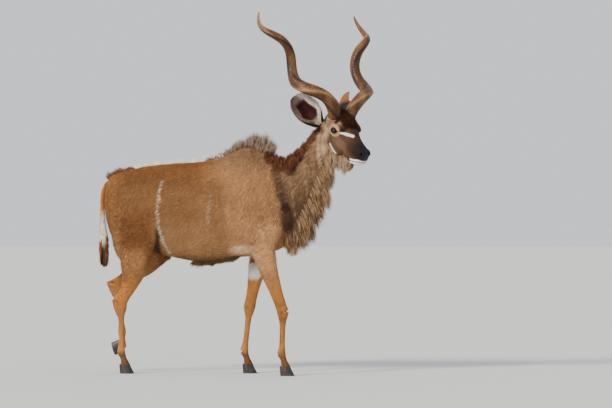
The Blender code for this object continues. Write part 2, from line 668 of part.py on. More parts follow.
def united(piece, forms, solver="EXACT"):
    """Piece joined with a collection of closed forms, which are then removed."""
    group = bpy.data.collections.new("forms")
    bpy.context.scene.collection.children.link(group)
    for form in forms:
        group.objects.link(form)
    join = piece.modifiers.new("join", "BOOLEAN")
    join.operation = "UNION"
    join.solver = solver
    join.operand_type = "COLLECTION"
    join.collection = group
    applied(piece)
    for form in forms:
        bpy.data.objects.remove(form)
    bpy.data.collections.remove(group)
    return largest(piece)


def eye_matrix(side):
    """Place of an eyeball in the world: Z along its gaze, X along its opening, which lies level."""
    gaze = (Vector(GAZE) * Vector((1, side, 1))).normalized()
    front = Vector((math.cos(EYE_SLANT), 0, math.sin(EYE_SLANT)))
    front = (front - front.dot(gaze) * gaze).normalized()
    turn = Matrix((front, gaze.cross(front), gaze)).transposed().to_4x4()
    return head_frame() @ Matrix.Translation((0, side * EYE_SPREAD, -EYE_DROP)) @ turn


def eye_opening(side, collection):
    """Almond between the lids, as a prism along the gaze."""
    rings = []
    for reach in (0.0, 0.06):
        angle = np.linspace(0, 2 * math.pi, 16, endpoint=False)
        height = EYE_OPENING[1] * np.abs(np.sin(angle)) ** 1.3 * np.sign(np.sin(angle))
        rings.append(np.stack([EYE_OPENING[0] * np.cos(angle), height, np.full(16, reach)], axis=1))
    piece = loft("opening", rings, collection)
    piece.data.transform(eye_matrix(side))
    return piece


def mouth_band(name, shift, size, collection):
    """Closed ring section swept along the mouth line from corner to corner."""
    half = smooth_rows(MOUTH, 8)
    path = np.vstack([half, (half * (1, -1, 1))[-2::-1]])
    path[:, 2] += shift
    along = np.gradient(path, axis=0)
    along /= np.linalg.norm(along, axis=1)[:, None]
    up = np.array((0.45, 0.0, 0.89))
    rings = []
    for point, a in zip(path, along):
        out = np.cross(a, up)
        out /= np.linalg.norm(out)
        rings.append(section(point, out, np.cross(out, a), size[0], size[1], size[1], 1.6, 1.6, 6))
    piece = loft(name, rings, collection)
    piece.data.transform(head_frame())
    return piece


def stand_on_origin(parts):
    """Whole animal moved so that the middle of its box's floor is the origin."""
    corners = [vertex.co for piece in parts.objects for vertex in piece.data.vertices]
    low = [min(corner[axis] for corner in corners) for axis in range(3)]
    high = [max(corner[axis] for corner in corners) for axis in range(3)]
    shift = Matrix.Translation((-(low[0] + high[0]) / 2, -(low[1] + high[1]) / 2, -low[2]))
    for piece in parts.objects:
        piece.data.transform(shift)


def build():
    """Whole animal: skins, hair forms, cuts, then horns, ears, eyes and hooves."""
    for old in list(bpy.data.objects):
        bpy.data.objects.remove(old)
    parts = bpy.data.collections.new("greater_kudu")
    work = bpy.data.collections.new("cutters")
    for group in (parts, work):
        bpy.context.scene.collection.children.link(group)

    sides = {"right": -1, "left": 1}
    neck = neck_form(work)
    skull = head_form(work)
    forms = [torso_form(work), neck, skull]
    for side in sides:
        forms += fore_leg_forms(side, work) + hind_leg_forms(side, work)
    tail = tail_form(work)
    torso = fused("torso", forms, BODY_VOXEL, BODY_TRIANGLES, work, soft_above=0.60)

    details = [neck, skull]
    for sign in sides.values():
        for place, radii in (BROW, CHEEK, NOSTRIL_WING):
            spot = head_frame() @ Matrix.Translation(Vector(place) * Vector((1, sign, 1)))
            details.append(ellipsoid("swelling", spot, radii, work))
        details.append(ellipsoid("lids", eye_matrix(sign), (EYE_RADIUS + LID_THICKNESS,) * 3, work))
    details += [mouth_band("lip", way * LIP_OFFSET, LIP_SIZE, work) for way in (-1, 1)]
    head = fused("head", details, HEAD_VOXEL, HEAD_TRIANGLES, work, light=10)
    carve(head, mouth_band("mouth", 0.0, MOUTH_CUT, work))
    for sign in sides.values():
        hole = head_frame() @ Matrix.Translation(Vector(NOSTRIL) * Vector((1, sign, 1)))
        carve(head, ellipsoid("nostril", hole, NOSTRIL_RADII, work, detail=2))

    cut_point, cut_normal = Vector(HEAD_CUT[0]), Vector(HEAD_CUT[1]).normalized()
    half_gap = cut_normal * GAP / 2
    carve(head, beyond("head_room", cut_point + half_gap, cut_normal, work), "INTERSECT")

    united(tail, locks(TUFT, *TUFT_LOCKS, work))
    carve(tail, grown(torso, GAP, work), solver="MANIFOLD")
    neck_node = parted(torso, "neck", *NECK_CUT, parts, work)
    carve(neck_node, beyond("head_room", cut_point - half_gap, cut_normal, work))

    united(neck_node, locks(NAPE, *NAPE_LOCKS, work, middle=NAPE_MIDDLE)
           + locks(FRINGE, *FRINGE_LOCKS, work))
    united(torso, locks(CREST, *CREST_LOCKS, work) + locks(BELLY, *BELLY_LOCKS, work))
    united(head, locks(BEARD, *BEARD_LOCKS, work, middle=BEARD_MIDDLE, lean=BEARD_TURN))
    for neighbour in (head, torso):
        carve(neck_node, grown(neighbour, HAIR_GAP, work), solver="MANIFOLD")

    legs = {}
    rooms = {"fore": FORE_ROOM, "hind": HIND_ROOM}
    for side, sign in sides.items():
        for name, room in rooms.items():
            outline = [(sign * y, z) for y, z in room]
            leg = new_object(f"{name}_leg_{side}", torso.data.copy(), parts)
            carve(leg, wedge("keep", outline, *ROOM_REACH[name], 0.0, work), "INTERSECT")
            legs[name, side] = leg
    for side, sign in sides.items():
        for name, room in rooms.items():
            outline = [(sign * y, z) for y, z in room]
            carve(torso, wedge("drop", outline, *ROOM_REACH[name], GAP, work))

    for (name, side), leg in legs.items():
        joints = FORE_LEGS[side] if name == "fore" else HIND_LEGS[side]
        pitch = LIFTED_PITCH if (name, side) == ("hind", "left") else 0.0
        foot = foot_place(Vector(joints[4]), pitch)
        down = foot.to_3x3() @ Vector((0, 0, -1))
        crown = foot @ Vector((0, 0, HOOF_HEIGHT + GAP))
        carve(leg, beyond("below_crown", crown, down, work))
        for rank, inward in (("inner", -1), ("outer", 1)):
            claw = claw_form("claw", foot, inward * sides[side], parts)
            finish(claw, f"hoof_{name}_{side}_{rank}", "hoof")
        finish(leg, leg.name, "leg")

    for side, sign in sides.items():
        ball = ellipsoid("ball", eye_matrix(sign), (EYE_RADIUS,) * 3, parts, detail=2)
        socket = ellipsoid("socket", eye_matrix(sign), (EYE_RADIUS + GAP * 1.3,) * 3, work, detail=2)
        carve(head, eye_opening(sign, work))
        carve(head, socket)
        finish(ball, f"eye_{side}", "eye")

    seat = grown(head, GAP, work)
    nape = grown(neck_node, GAP, work)
    for side, sign in sides.items():
        horn = horn_form("horn", sign, parts)
        carve(horn, seat, solver="MANIFOLD")
        finish(horn, f"horn_{side}", "horn")
        direction, facing = EAR_AIMS[side]
        ear = ear_form("ear", sign, direction, facing, parts)
        for neighbour in (seat, nape, grown(horn, GAP, work)):
            carve(ear, neighbour, solver="MANIFOLD")
        finish(ear, f"ear_{side}", "ear")

    for piece, name, coat in ((torso, "torso", "torso"), (neck_node, "neck", "neck"),
                              (head, "head", "head"), (tail, "tail", "tail")):
        if piece.name not in parts.objects:
            parts.objects.link(piece)
        finish(piece, name, coat)
    for spare in list(work.objects):
        if spare.name in parts.objects:
            work.objects.unlink(spare)
        else:
            bpy.data.objects.remove(spare)
    stand_on_origin(parts)


build()
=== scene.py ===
"""Greater kudu bull walking slowly across a pale floor, its head turned to its right.

The skin is one surface over trunk, neck, head, legs and tail. Short hair, long hair, horns, ears,
eyes and hooves are set on it in the order in which a taxidermist would finish the animal.
"""
import math

import bpy
import numpy as np
from mathutils import Matrix, Vector


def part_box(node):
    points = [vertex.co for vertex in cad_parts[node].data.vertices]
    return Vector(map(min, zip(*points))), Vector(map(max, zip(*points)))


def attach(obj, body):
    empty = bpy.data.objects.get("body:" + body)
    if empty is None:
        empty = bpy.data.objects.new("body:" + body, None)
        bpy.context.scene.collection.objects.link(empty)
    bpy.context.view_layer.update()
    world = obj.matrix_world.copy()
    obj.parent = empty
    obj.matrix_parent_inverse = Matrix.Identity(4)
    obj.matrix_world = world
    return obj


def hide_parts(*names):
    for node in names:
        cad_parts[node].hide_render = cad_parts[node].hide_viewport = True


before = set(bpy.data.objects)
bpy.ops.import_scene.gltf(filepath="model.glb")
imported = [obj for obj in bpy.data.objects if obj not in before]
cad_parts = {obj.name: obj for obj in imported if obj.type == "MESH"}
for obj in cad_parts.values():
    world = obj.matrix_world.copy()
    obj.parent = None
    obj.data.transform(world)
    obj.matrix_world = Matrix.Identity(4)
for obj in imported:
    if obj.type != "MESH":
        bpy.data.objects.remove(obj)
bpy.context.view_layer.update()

# Camera, floor and light
# A long lens about 20 m away at the height of the belly, a little ahead of square to the flank.
# A matt pale floor, one large soft key from the upper left behind the camera, and a bright room.
eye_middle = sum((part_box(node)[0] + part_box(node)[1] for node in ("eye_right", "eye_left")), Vector()) / 4
EYE_PLACE = np.array((0.788, -0.130, 1.580))
EYE_DROP = 0.006
HEAD_TURN = math.radians(-38.1)
HEAD_DIP = math.radians(37.0)
head_axes = np.array(Matrix.Rotation(HEAD_TURN, 3, "Z") @ Matrix.Rotation(HEAD_DIP, 3, "Y"))
shift = np.array(eye_middle) - EYE_PLACE + EYE_DROP * head_axes[:, 2]
CAMERA_TURN = math.radians(15.0)
CAMERA_DISTANCE = 20.0
FRAME_WIDTH = 3.978
VIEW_CENTRE = np.array((0.458, 0.123, 1.105))
SENSOR = 36.0

camera_data = bpy.data.cameras.new("camera")
camera_data.sensor_width = SENSOR
camera_data.lens = SENSOR * CAMERA_DISTANCE / FRAME_WIDTH
camera_data.clip_end = 200.0
camera = bpy.data.objects.new("camera", camera_data)
camera.location = VIEW_CENTRE + shift + CAMERA_DISTANCE * np.array(
    (math.sin(CAMERA_TURN), -math.cos(CAMERA_TURN), 0.0))
camera.rotation_euler = (math.radians(90), 0, CAMERA_TURN)
bpy.context.scene.collection.objects.link(camera)
bpy.context.scene.camera = camera


class Socket:
    """One output of a shader node, with arithmetic that adds Math nodes."""

    def __init__(self, tree, output):
        self.tree = tree
        self.output = output

    def node(self, kind, settings=None, inputs=None, output=0):
        """New node of a kind: its settings first, then the values or links of its sockets."""
        made = self.tree.nodes.new(kind)
        for key, value in (settings or {}).items():
            if key == "stops":
                while len(made.color_ramp.elements) < len(value):
                    made.color_ramp.elements.new(0.5)
                for element, (place, colour) in zip(made.color_ramp.elements, value):
                    element.position = place
                    element.color = colour
            else:
                setattr(made, key, value)
        for key, value in (inputs or {}).items():
            if isinstance(value, Socket):
                self.tree.links.new(value.output, made.inputs[key])
            else:
                made.inputs[key].default_value = value
        return Socket(self.tree, made.outputs[output])

    def sum_of(self, operation, first, second):
        """Math node on two values or sockets."""
        return self.node("ShaderNodeMath", {"operation": operation}, {0: first, 1: second})

    def __add__(self, other):
        return self.sum_of("ADD", self, other)

    def __mul__(self, other):
        return self.sum_of("MULTIPLY", self, other)

    __rmul__ = __mul__

    def __rsub__(self, other):
        return self.sum_of("SUBTRACT", other, self)

    def noise(self, scale, detail=3.0, roughness=0.5):
        """Fractal noise at a number of waves for each metre, from 0 to 1."""
        return self.node("ShaderNodeTexNoise", {}, {"Vector": self, "Scale": scale, "Detail": detail,
                                                    "Roughness": roughness})

    def span(self, low, high, start=0.0, end=1.0):
        """Value stretched from low..high to start..end, held at the ends."""
        return self.node("ShaderNodeMapRange", {"interpolation_type": "SMOOTHSTEP"},
                         {"Value": self, "From Min": low, "From Max": high,
                          "To Min": start, "To Max": end})

    def stretched(self, scale):
        """Place scaled on each axis, so that a pattern on it is drawn out."""
        return self.node("ShaderNodeVectorMath", {"operation": "MULTIPLY"}, {0: self, 1: scale})

    def mixed(self, other, factor):
        """Colour mixed with another colour by a factor."""
        return self.node("ShaderNodeMix", {"data_type": "RGBA"}, {0: factor, 6: self, 7: other}, output=2)


def new_material(name, roughness, specular=0.3, coat=0.0, coat_roughness=0.1, sheen=0.0):
    """Principled material, with its shader and its object coordinates ready to use."""
    material = bpy.data.materials.new(name)
    material.use_nodes = True
    tree = material.node_tree
    shader = tree.nodes["Principled BSDF"]
    for socket, value in (("Roughness", roughness), ("Specular IOR Level", specular),
                          ("Coat Weight", coat), ("Coat Roughness", coat_roughness),
                          ("Sheen Weight", sheen)):
        shader.inputs[socket].default_value = value
    place = Socket(tree, tree.nodes.new("ShaderNodeTexCoord").outputs["Object"])
    return material, shader, place


def feed(shader, name, socket):
    """Socket linked into one input of the shader."""
    socket.tree.links.new(socket.output, shader.inputs[name])


def bumped(shader, height, strength, distance):
    """Height in metres times distance, as a bump in the shader's normal."""
    feed(shader, "Normal", height.node("ShaderNodeBump", {}, {"Height": height, "Strength": strength,
                                                              "Distance": distance}))


def tone(red, green, blue):
    """Linear colour of a tone given as it looks on a screen, 0 to 255."""
    return (np.array((red, green, blue)) / 255.0) ** 2.2


FLOOR_RADIUS = 60.0
FLOOR_SIDES = 96
FLOOR_COLOUR = (0.66, 0.66, 0.65, 1.0)
floor_mesh = bpy.data.meshes.new("floor")
rim = np.linspace(0, 2 * math.pi, FLOOR_SIDES, endpoint=False)
floor_mesh.from_pydata(np.stack([FLOOR_RADIUS * np.cos(rim), FLOOR_RADIUS * np.sin(rim),
                                 np.zeros(FLOOR_SIDES)], axis=1).tolist(), [], [list(range(FLOOR_SIDES))])
floor = bpy.data.objects.new("floor", floor_mesh)
bpy.context.scene.collection.objects.link(floor)
floor_material, floor_shader, floor_place = new_material("pale_floor", 0.9, specular=0.1)
floor_shader.inputs["Base Color"].default_value = FLOOR_COLOUR
floor_mesh.materials.append(floor_material)

KEY_DIRECTION = Vector((-0.50, -0.80, 0.52))
KEY_STRENGTH = 4.3
KEY_SPREAD = math.radians(12)
KEY_COLOUR = (1.0, 0.95, 0.87)
ROOM_COLOUR = (0.92, 0.96, 1.0, 1.0)
ROOM_STRENGTH = 0.95
sun_data = bpy.data.lights.new("key", "SUN")
sun_data.energy = KEY_STRENGTH
sun_data.angle = KEY_SPREAD
sun_data.color = KEY_COLOUR
sun = bpy.data.objects.new("key", sun_data)
sun.rotation_euler = KEY_DIRECTION.to_track_quat("Z", "Y").to_euler()
bpy.context.scene.collection.objects.link(sun)
room = bpy.data.worlds.new("room")
room.use_nodes = True
room.node_tree.nodes["Background"].inputs["Color"].default_value = ROOM_COLOUR
room.node_tree.nodes["Background"].inputs["Strength"].default_value = ROOM_STRENGTH
bpy.context.scene.world = room

# Skin
# The hide of trunk, neck, head, legs and tail, one surface with no seam. It is swept over named
# stations, melted together on a fine grid, and lies below the tips of the short coat.

# A torso or head row holds its place along the body, its top, its underside, half its width, the
# height of its widest part, and the powers of its upper and lower curves. A neck row holds nape,
# throat, offset to the left and half width.
TORSO = (
    (-0.868, 1.215, 1.080, 0.030, 1.15, 2.0, 2.0),
    (-0.855, 1.255, 0.985, 0.085, 1.12, 2.0, 2.0),
    (-0.820, 1.298, 0.890, 0.140, 1.09, 2.0, 2.1),
    (-0.755, 1.322, 0.830, 0.185, 1.07, 1.9, 2.1),
    (-0.660, 1.345, 0.800, 0.212, 1.06, 1.8, 2.1),
    (-0.550, 1.366, 0.785, 0.222, 1.05, 1.8, 2.1),
    (-0.400, 1.380, 0.752, 0.222, 1.04, 1.8, 2.1),
    (-0.200, 1.392, 0.722, 0.243, 1.02, 1.8, 2.1),
    (-0.070, 1.418, 0.735, 0.238, 1.02, 1.7, 2.0),
    (0.030, 1.472, 0.755, 0.220, 1.03, 1.5, 1.9),
    (0.130, 1.492, 0.762, 0.205, 1.04, 1.45, 1.8),
    (0.225, 1.452, 0.780, 0.188, 1.05, 1.5, 1.8),
    (0.310, 1.385, 0.805, 0.158, 1.05, 1.7, 1.9),
    (0.370, 1.290, 0.850, 0.115, 1.05, 1.9, 2.0),
    (0.405, 1.150, 0.950, 0.050, 1.05, 2.0, 2.0),
)
NECK = (
    (0.170, 1.400, 0.300, 0.840, 0.000, 0.150),
    (0.262, 1.400, 0.425, 0.885, 0.000, 0.142),
    (0.345, 1.388, 0.505, 1.030, -0.003, 0.130),
    (0.412, 1.408, 0.566, 1.160, -0.008, 0.118),
    (0.474, 1.462, 0.613, 1.278, -0.014, 0.108),
    (0.530, 1.528, 0.648, 1.375, -0.018, 0.100),
    (0.585, 1.600, 0.680, 1.452, -0.022, 0.092),
    (0.630, 1.660, 0.710, 1.520, -0.030, 0.070),
)
HEAD = (
    (-0.175, 0.020, -0.135, 0.045, -0.040, 2.0, 2.0),
    (-0.150, 0.052, -0.160, 0.072, -0.030, 2.0, 2.0),
    (-0.100, 0.070, -0.180, 0.086, -0.010, 2.2, 1.8),
    (-0.040, 0.069, -0.188, 0.090, 0.005, 2.4, 1.7),
    (0.012, 0.060, -0.186, 0.088, 0.008, 2.4, 1.6),
    (0.060, 0.048, -0.175, 0.072, 0.000, 2.1, 1.6),
    (0.110, 0.038, -0.158, 0.057, -0.012, 1.9, 1.7),
    (0.160, 0.031, -0.141, 0.050, -0.025, 1.9, 1.9),
    (0.200, 0.027, -0.126, 0.049, -0.032, 2.0, 2.0),
    (0.230, 0.020, -0.114, 0.050, -0.032, 2.2, 2.3),
    (0.250, 0.010, -0.102, 0.046, -0.034, 2.3, 2.4),
    (0.264, -0.003, -0.086, 0.036, -0.036, 2.2, 2.2),
    (0.272, -0.020, -0.066, 0.018, -0.040, 2.0, 2.0),
)
TAIL = ((-0.800, 1.262, 0.024, 0.032), (-0.850, 1.250, 0.024, 0.030), (-0.886, 1.205, 0.024, 0.028),
        (-0.894, 1.120, 0.022, 0.027), (-0.893, 1.000, 0.025, 0.030), (-0.887, 0.930, 0.030, 0.034),
        (-0.881, 0.868, 0.034, 0.036), (-0.877, 0.800, 0.028, 0.030), (-0.875, 0.745, 0.018, 0.020),
        (-0.880, 0.700, 0.005, 0.006))
FORE_LEGS = {
    "right": ((0.345, -0.120, 1.020), (0.235, -0.132, 0.800), (0.370, -0.122, 0.412),
              (0.362, -0.118, 0.142), (0.386, -0.118, 0.062)),
    "left": ((0.300, 0.120, 1.020), (0.150, 0.132, 0.800), (0.078, 0.120, 0.438),
             (0.046, 0.114, 0.146), (0.070, 0.114, 0.062)),
}
HIND_LEGS = {
    "right": ((-0.640, -0.120, 1.100), (-0.550, -0.150, 0.795), (-0.722, -0.128, 0.462),
              (-0.721, -0.122, 0.140), (-0.697, -0.122, 0.062)),
    "left": ((-0.640, 0.120, 1.100), (-0.530, 0.150, 0.765), (-0.845, 0.128, 0.580),
             (-0.795, 0.120, 0.262), (-0.800, 0.120, 0.180)),
}
BLADE_TOP = (0.110, 0.060, 1.400)
BLADE = ((-0.05, 0.0, 0.050, 0.030), (0.30, 0.0, 0.090, 0.045), (0.75, 0.0, 0.095, 0.050),
         (1.10, 0.0, 0.070, 0.045))
UPPER_ARM = ((-0.10, 0.00, 0.070, 0.045), (0.50, -0.02, 0.085, 0.050), (1.05, 0.01, 0.075, 0.045))
FOREARM = ((-0.10, 0.01, 0.080, 0.052), (0.10, 0.01, 0.078, 0.050), (0.35, 0.00, 0.063, 0.042),
           (0.65, 0.00, 0.046, 0.034), (0.88, 0.00, 0.040, 0.031), (1.00, 0.00, 0.042, 0.034))
FORE_CANNON = ((0.00, 0.0, 0.042, 0.034), (0.14, 0.0, 0.034, 0.028), (0.30, 0.0, 0.0235, 0.021),
               (0.75, 0.0, 0.022, 0.020), (0.90, -0.002, 0.027, 0.024), (1.00, -0.004, 0.032, 0.027))
THIGH = ((-0.10, 0.00, 0.140, 0.085), (0.20, -0.01, 0.175, 0.098), (0.60, -0.03, 0.175, 0.092),
         (0.90, -0.05, 0.150, 0.072), (1.12, -0.05, 0.105, 0.045))
SHANK = ((-0.12, -0.075, 0.125, 0.066), (0.10, -0.065, 0.125, 0.066), (0.35, -0.032, 0.102, 0.054),
         (0.62, -0.005, 0.063, 0.039), (0.85, 0.0, 0.043, 0.030), (1.00, 0.0, 0.040, 0.034))
HIND_CANNON = ((0.00, 0.0, 0.042, 0.035), (0.14, 0.004, 0.034, 0.029), (0.30, 0.0, 0.0235, 0.020),
               (0.75, 0.0, 0.021, 0.019), (0.90, -0.002, 0.026, 0.023), (1.00, -0.004, 0.031, 0.026))
PASTERN = ((0.00, -0.004, 0.031, 0.026), (0.50, 0.0, 0.023, 0.024), (0.85, 0.0, 0.029, 0.030),
           (1.30, 0.0, 0.036, 0.034))
TENDON = ((-0.10, 0.0, 0.022, 0.018), (0.50, 0.0, 0.015, 0.014), (1.08, 0.0, 0.018, 0.016))
TENDON_START = 0.55
TENDON_BACK = 0.03
HEEL_BONE = ((-0.12, 0.0, 0.018, 0.017), (0.50, 0.0, 0.020, 0.018), (1.10, 0.0, 0.014, 0.016))
HEEL_BACK = 0.046
HEEL_RISE = 0.012
HEEL_FOOT = (0.022, 0.075)
TORSO_GRID = (90, 64)
NECK_GRID = (60, 48)
HEAD_GRID = (80, 56)
TAIL_GRID = (50, 20)
BONE_SIDES = 24
TAIL_CORE = 0.8
SKIN_GRID = 0.0036
SKIN_ROUNDS = 18
BODY_ROUNDS = 120
SKIN_TRIANGLES = 185000
EYE_RADIUS = 0.022
EYE_SPREAD = 0.084
GAZE = (0.38, 1.0, 0.10)
LID_THICKNESS = 0.005
SOCKET_GAP = 0.0008
LID_ROOM = 1.06
EYE_OPENING = (0.0225, 0.0145)
EYE_SLANT = math.radians(34.0)
BROW = ((-0.006, 0.074, 0.022), (0.060, 0.029, 0.025))
CHEEK = ((0.000, 0.044, -0.085), (0.110, 0.029, 0.078))
NOSTRIL_WING = ((0.236, 0.031, -0.008), (0.030, 0.020, 0.021))
NOSTRIL = ((0.258, 0.033, -0.003), (0.013, 0.0075, 0.0085))
HEAD_PLANE = (np.array((0.650, -0.030, 1.560)), np.array((0.965, -0.258, -0.050)))


def on_head(points):
    """Points of the head's own frame (along the face, left, up) in the row frame."""
    return np.asarray(points) @ head_axes.T + EYE_PLACE + shift


def in_head(points):
    """Points of the row frame in the head's own frame."""
    return (points - EYE_PLACE - shift) @ head_axes


def smooth_rows(rows, count):
    """Station values blended by Catmull-Rom spans into an even number of rows."""
    rows = np.array(rows, dtype=float)
    ends = np.vstack([2 * rows[0] - rows[1], rows, 2 * rows[-1] - rows[-2]])
    place = np.linspace(0, len(rows) - 1, count)
    span = np.minimum(place.astype(int), len(rows) - 2)
    u = (place - span)[:, None]
    a, b, c, d = ends[span], ends[span + 1], ends[span + 2], ends[span + 3]
    return 0.5 * (2 * b + (c - a) * u + (2 * a - 5 * b + 4 * c - d) * u ** 2
                  + (3 * b - a - 3 * c + d) * u ** 3)


def unit(vectors):
    """Vectors scaled to length one."""
    return vectors / np.maximum(np.linalg.norm(vectors, axis=-1, keepdims=True), 1e-9)


def bulged(wave, power):
    """Sine or cosine raised to a power, with its sign kept."""
    return np.sign(wave) * np.abs(wave) ** power


def eggs(centre, side, up, half, rise, drop, roof, keel, sides):
    """Rings of superellipse points: |across|^p + |along|^p = 1, with upper and lower halves unlike."""
    angle = np.linspace(0, 2 * math.pi, sides, endpoint=False)[None, :]
    across, along = np.sin(angle), np.cos(angle)
    roof, keel, half, rise, drop = (np.broadcast_to(np.asarray(v, dtype=float), (len(centre),))[:, None]
                                    for v in (roof, keel, half, rise, drop))
    power = 2 / np.where(along > 0, roof, keel)
    width = half * bulged(across, power)
    height = np.where(along > 0, rise, -drop) * np.abs(along) ** power
    return centre[:, None] + width[..., None] * side[:, None] + height[..., None] * up[:, None]


def swept(rings):
    """Points and faces of a closed skin through rings, each end closed by a fan to its middle."""
    rows, sides = rings.shape[:2]
    grid = np.arange(rows * sides).reshape(rows, sides)
    after = np.roll(grid, -1, axis=1)
    walls = np.stack([grid[:-1], after[:-1], after[1:], grid[1:]], axis=-1).reshape(-1, 4)
    points = np.vstack([rings.reshape(-1, 3), rings[0].mean(axis=0), rings[-1].mean(axis=0)])
    first, last = rows * sides, rows * sides + 1
    caps = np.vstack([np.stack([after[0], grid[0], np.full(sides, first)], axis=1),
                      np.stack([grid[-1], after[-1], np.full(sides, last)], axis=1)])
    triangles = np.vstack([walls[:, [0, 1, 2]], walls[:, [0, 2, 3]], caps])
    tet = points[triangles]
    volume = np.einsum("ij,ij->i", tet[:, 0], np.cross(tet[:, 1], tet[:, 2])).sum()
    return points, triangles if volume > 0 else triangles[:, ::-1]


def joined(shells):
    """Points and faces of several shells as one set."""
    starts = np.cumsum([0] + [len(points) for points, faces in shells[:-1]])
    return (np.vstack([points for points, faces in shells]),
            np.vstack([faces + start for (points, faces), start in zip(shells, starts)]))


def new_piece(name, points, faces):
    """Mesh object from an array of points and an array of faces with equal corners."""
    mesh = bpy.data.meshes.new(name)
    count, corners = faces.shape
    mesh.vertices.add(len(points))
    mesh.vertices.foreach_set("co", np.asarray(points, dtype=np.float32).ravel())
    mesh.loops.add(count * corners)
    mesh.loops.foreach_set("vertex_index", faces.astype(np.int32).ravel())
    mesh.polygons.add(count)
    mesh.polygons.foreach_set("loop_start", np.arange(count, dtype=np.int32) * corners)
    mesh.update(calc_edges=True)
    piece = bpy.data.objects.new(name, mesh)
    bpy.context.scene.collection.objects.link(piece)
    return piece


def applied(piece):
    """Piece with its modifiers made real."""
    depsgraph = bpy.context.evaluated_depsgraph_get()
    mesh = bpy.data.meshes.new_from_object(piece.evaluated_get(depsgraph))
    old = piece.data
    piece.modifiers.clear()
    piece.data = mesh
    bpy.data.meshes.remove(old)
    return piece


def shaded_smooth(piece):
    """Piece shaded smooth across its edges."""
    piece.data.polygons.foreach_set("use_smooth", np.ones(len(piece.data.polygons), dtype=bool))


def points_of(mesh):
    """Vertex places of a mesh as an array."""
    flat = np.empty(len(mesh.vertices) * 3, dtype=np.float32)
    mesh.vertices.foreach_get("co", flat)
    return flat.reshape(-1, 3).astype(float)


def normals_of(mesh):
    """Vertex normals of a mesh as an array."""
    flat = np.empty(len(mesh.vertices) * 3, dtype=np.float32)
    mesh.vertices.foreach_get("normal", flat)
    return flat.reshape(-1, 3).astype(float)


def soft(value, low, high):
    """Smooth step from 0 at low to 1 at high."""
    t = np.clip((value - low) / (high - low), 0, 1)
    return t * t * (3 - 2 * t)


def bone(start, end, profile):
    """Closed skin round one bone: rings square to it at shares of its length."""
    start, end = np.array(start), np.array(end)
    line = end - start
    length = np.linalg.norm(line)
    line = line / length
    front = np.cross((0.0, 1.0, 0.0), line)
    front *= np.sign(front[0]) / np.linalg.norm(front)
    side = np.cross(front, line)
    share, ahead, deep, wide = smooth_rows(profile, 5 * len(profile)).T
    centre = start + line * (share * length)[:, None] + front * ahead[:, None]
    full = np.ones((len(centre), 1))
    return swept(eggs(centre, side * full, front * full, wide, deep, deep, 2.1, 2.1, BONE_SIDES))


def skin_shells():
    """Every closed form under the skin, in the row frame."""
    shells = []
    rows, sides = TORSO_GRID
    x, top, low, half, wide, roof, keel = smooth_rows(TORSO, rows).T
    centre = np.stack([x, 0 * x, wide], axis=1)
    across, upright = np.tile((0.0, 1.0, 0.0), (rows, 1)), np.tile((0.0, 0.0, 1.0), (rows, 1))
    shells.append(swept(eggs(centre, across, upright, half, top - wide, wide - low, roof, keel, sides)))

    rows, sides = NECK_GRID
    nape_x, nape_z, throat_x, throat_z, y, half = smooth_rows(NECK, rows).T
    nape, throat = np.stack([nape_x, y, nape_z], axis=1), np.stack([throat_x, y, throat_z], axis=1)
    reach = (nape - throat) / 2
    size = np.linalg.norm(reach, axis=1)
    across = np.tile((0.0, 1.0, 0.0), (rows, 1))
    shells.append(swept(eggs((nape + throat) / 2, across, unit(reach), half, size, size, 1.9, 1.9, sides)))

    rows, sides = HEAD_GRID
    forward, top, low, half, wide, roof, keel = smooth_rows(HEAD, rows).T
    centre = np.stack([forward, 0 * forward, wide], axis=1)
    across, upright = np.tile((0.0, 1.0, 0.0), (rows, 1)), np.tile((0.0, 0.0, 1.0), (rows, 1))
    rings = eggs(centre, across, upright, half, top - wide, wide - low, roof, keel, sides)
    shells.append(swept(on_head(rings) - shift))

    rows, sides = TAIL_GRID
    x, z, deep, wide = smooth_rows(TAIL, rows).T
    deep, wide = TAIL_CORE * deep, TAIL_CORE * wide
    centre = np.stack([x, 0 * x, z], axis=1)
    along = unit(np.gradient(centre, axis=0))
    across = np.tile((0.0, 1.0, 0.0), (rows, 1))
    shells.append(swept(eggs(centre, across, np.cross(along, across), wide, deep, deep, 2.0, 2.0, sides)))

    for shoulder, elbow, knee, fetlock, coronet in FORE_LEGS.values():
        top = (BLADE_TOP[0], math.copysign(BLADE_TOP[1], shoulder[1]), BLADE_TOP[2])
        shells += [bone(top, shoulder, BLADE), bone(shoulder, elbow, UPPER_ARM),
                   bone(elbow, knee, FOREARM), bone(knee, fetlock, FORE_CANNON),
                   bone(fetlock, coronet, PASTERN)]
    for joints in HIND_LEGS.values():
        hip, stifle, hock, fetlock, coronet = (np.array(joint) for joint in joints)
        cannon = unit(fetlock - hock)
        back = np.cross((0.0, 1.0, 0.0), cannon)
        back *= -np.sign(back[0])
        heel = hock + HEEL_BACK * back - HEEL_RISE * cannon
        calf = stifle + TENDON_START * (hock - stifle) + TENDON_BACK * back
        foot = hock + HEEL_FOOT[0] * back + HEEL_FOOT[1] * cannon
        shells += [bone(hip, stifle, THIGH), bone(stifle, hock, SHANK), bone(calf, heel, TENDON),
                   bone(heel, foot, HEEL_BONE), bone(hock, fetlock, HIND_CANNON),
                   bone(fetlock, coronet, PASTERN)]
    return shells


def ball(centre, radii, rows=40, columns=64):
    """Closed ball stretched to three radii, poles along its third axis."""
    tilt, angle = np.meshgrid(np.linspace(0, math.pi, rows)[1:-1],
                              np.linspace(0, 2 * math.pi, columns, endpoint=False), indexing="ij")
    points = np.stack([np.sin(tilt) * np.cos(angle), np.sin(tilt) * np.sin(angle), np.cos(tilt)], axis=-1)
    return swept(points * np.array(radii) + np.array(centre))


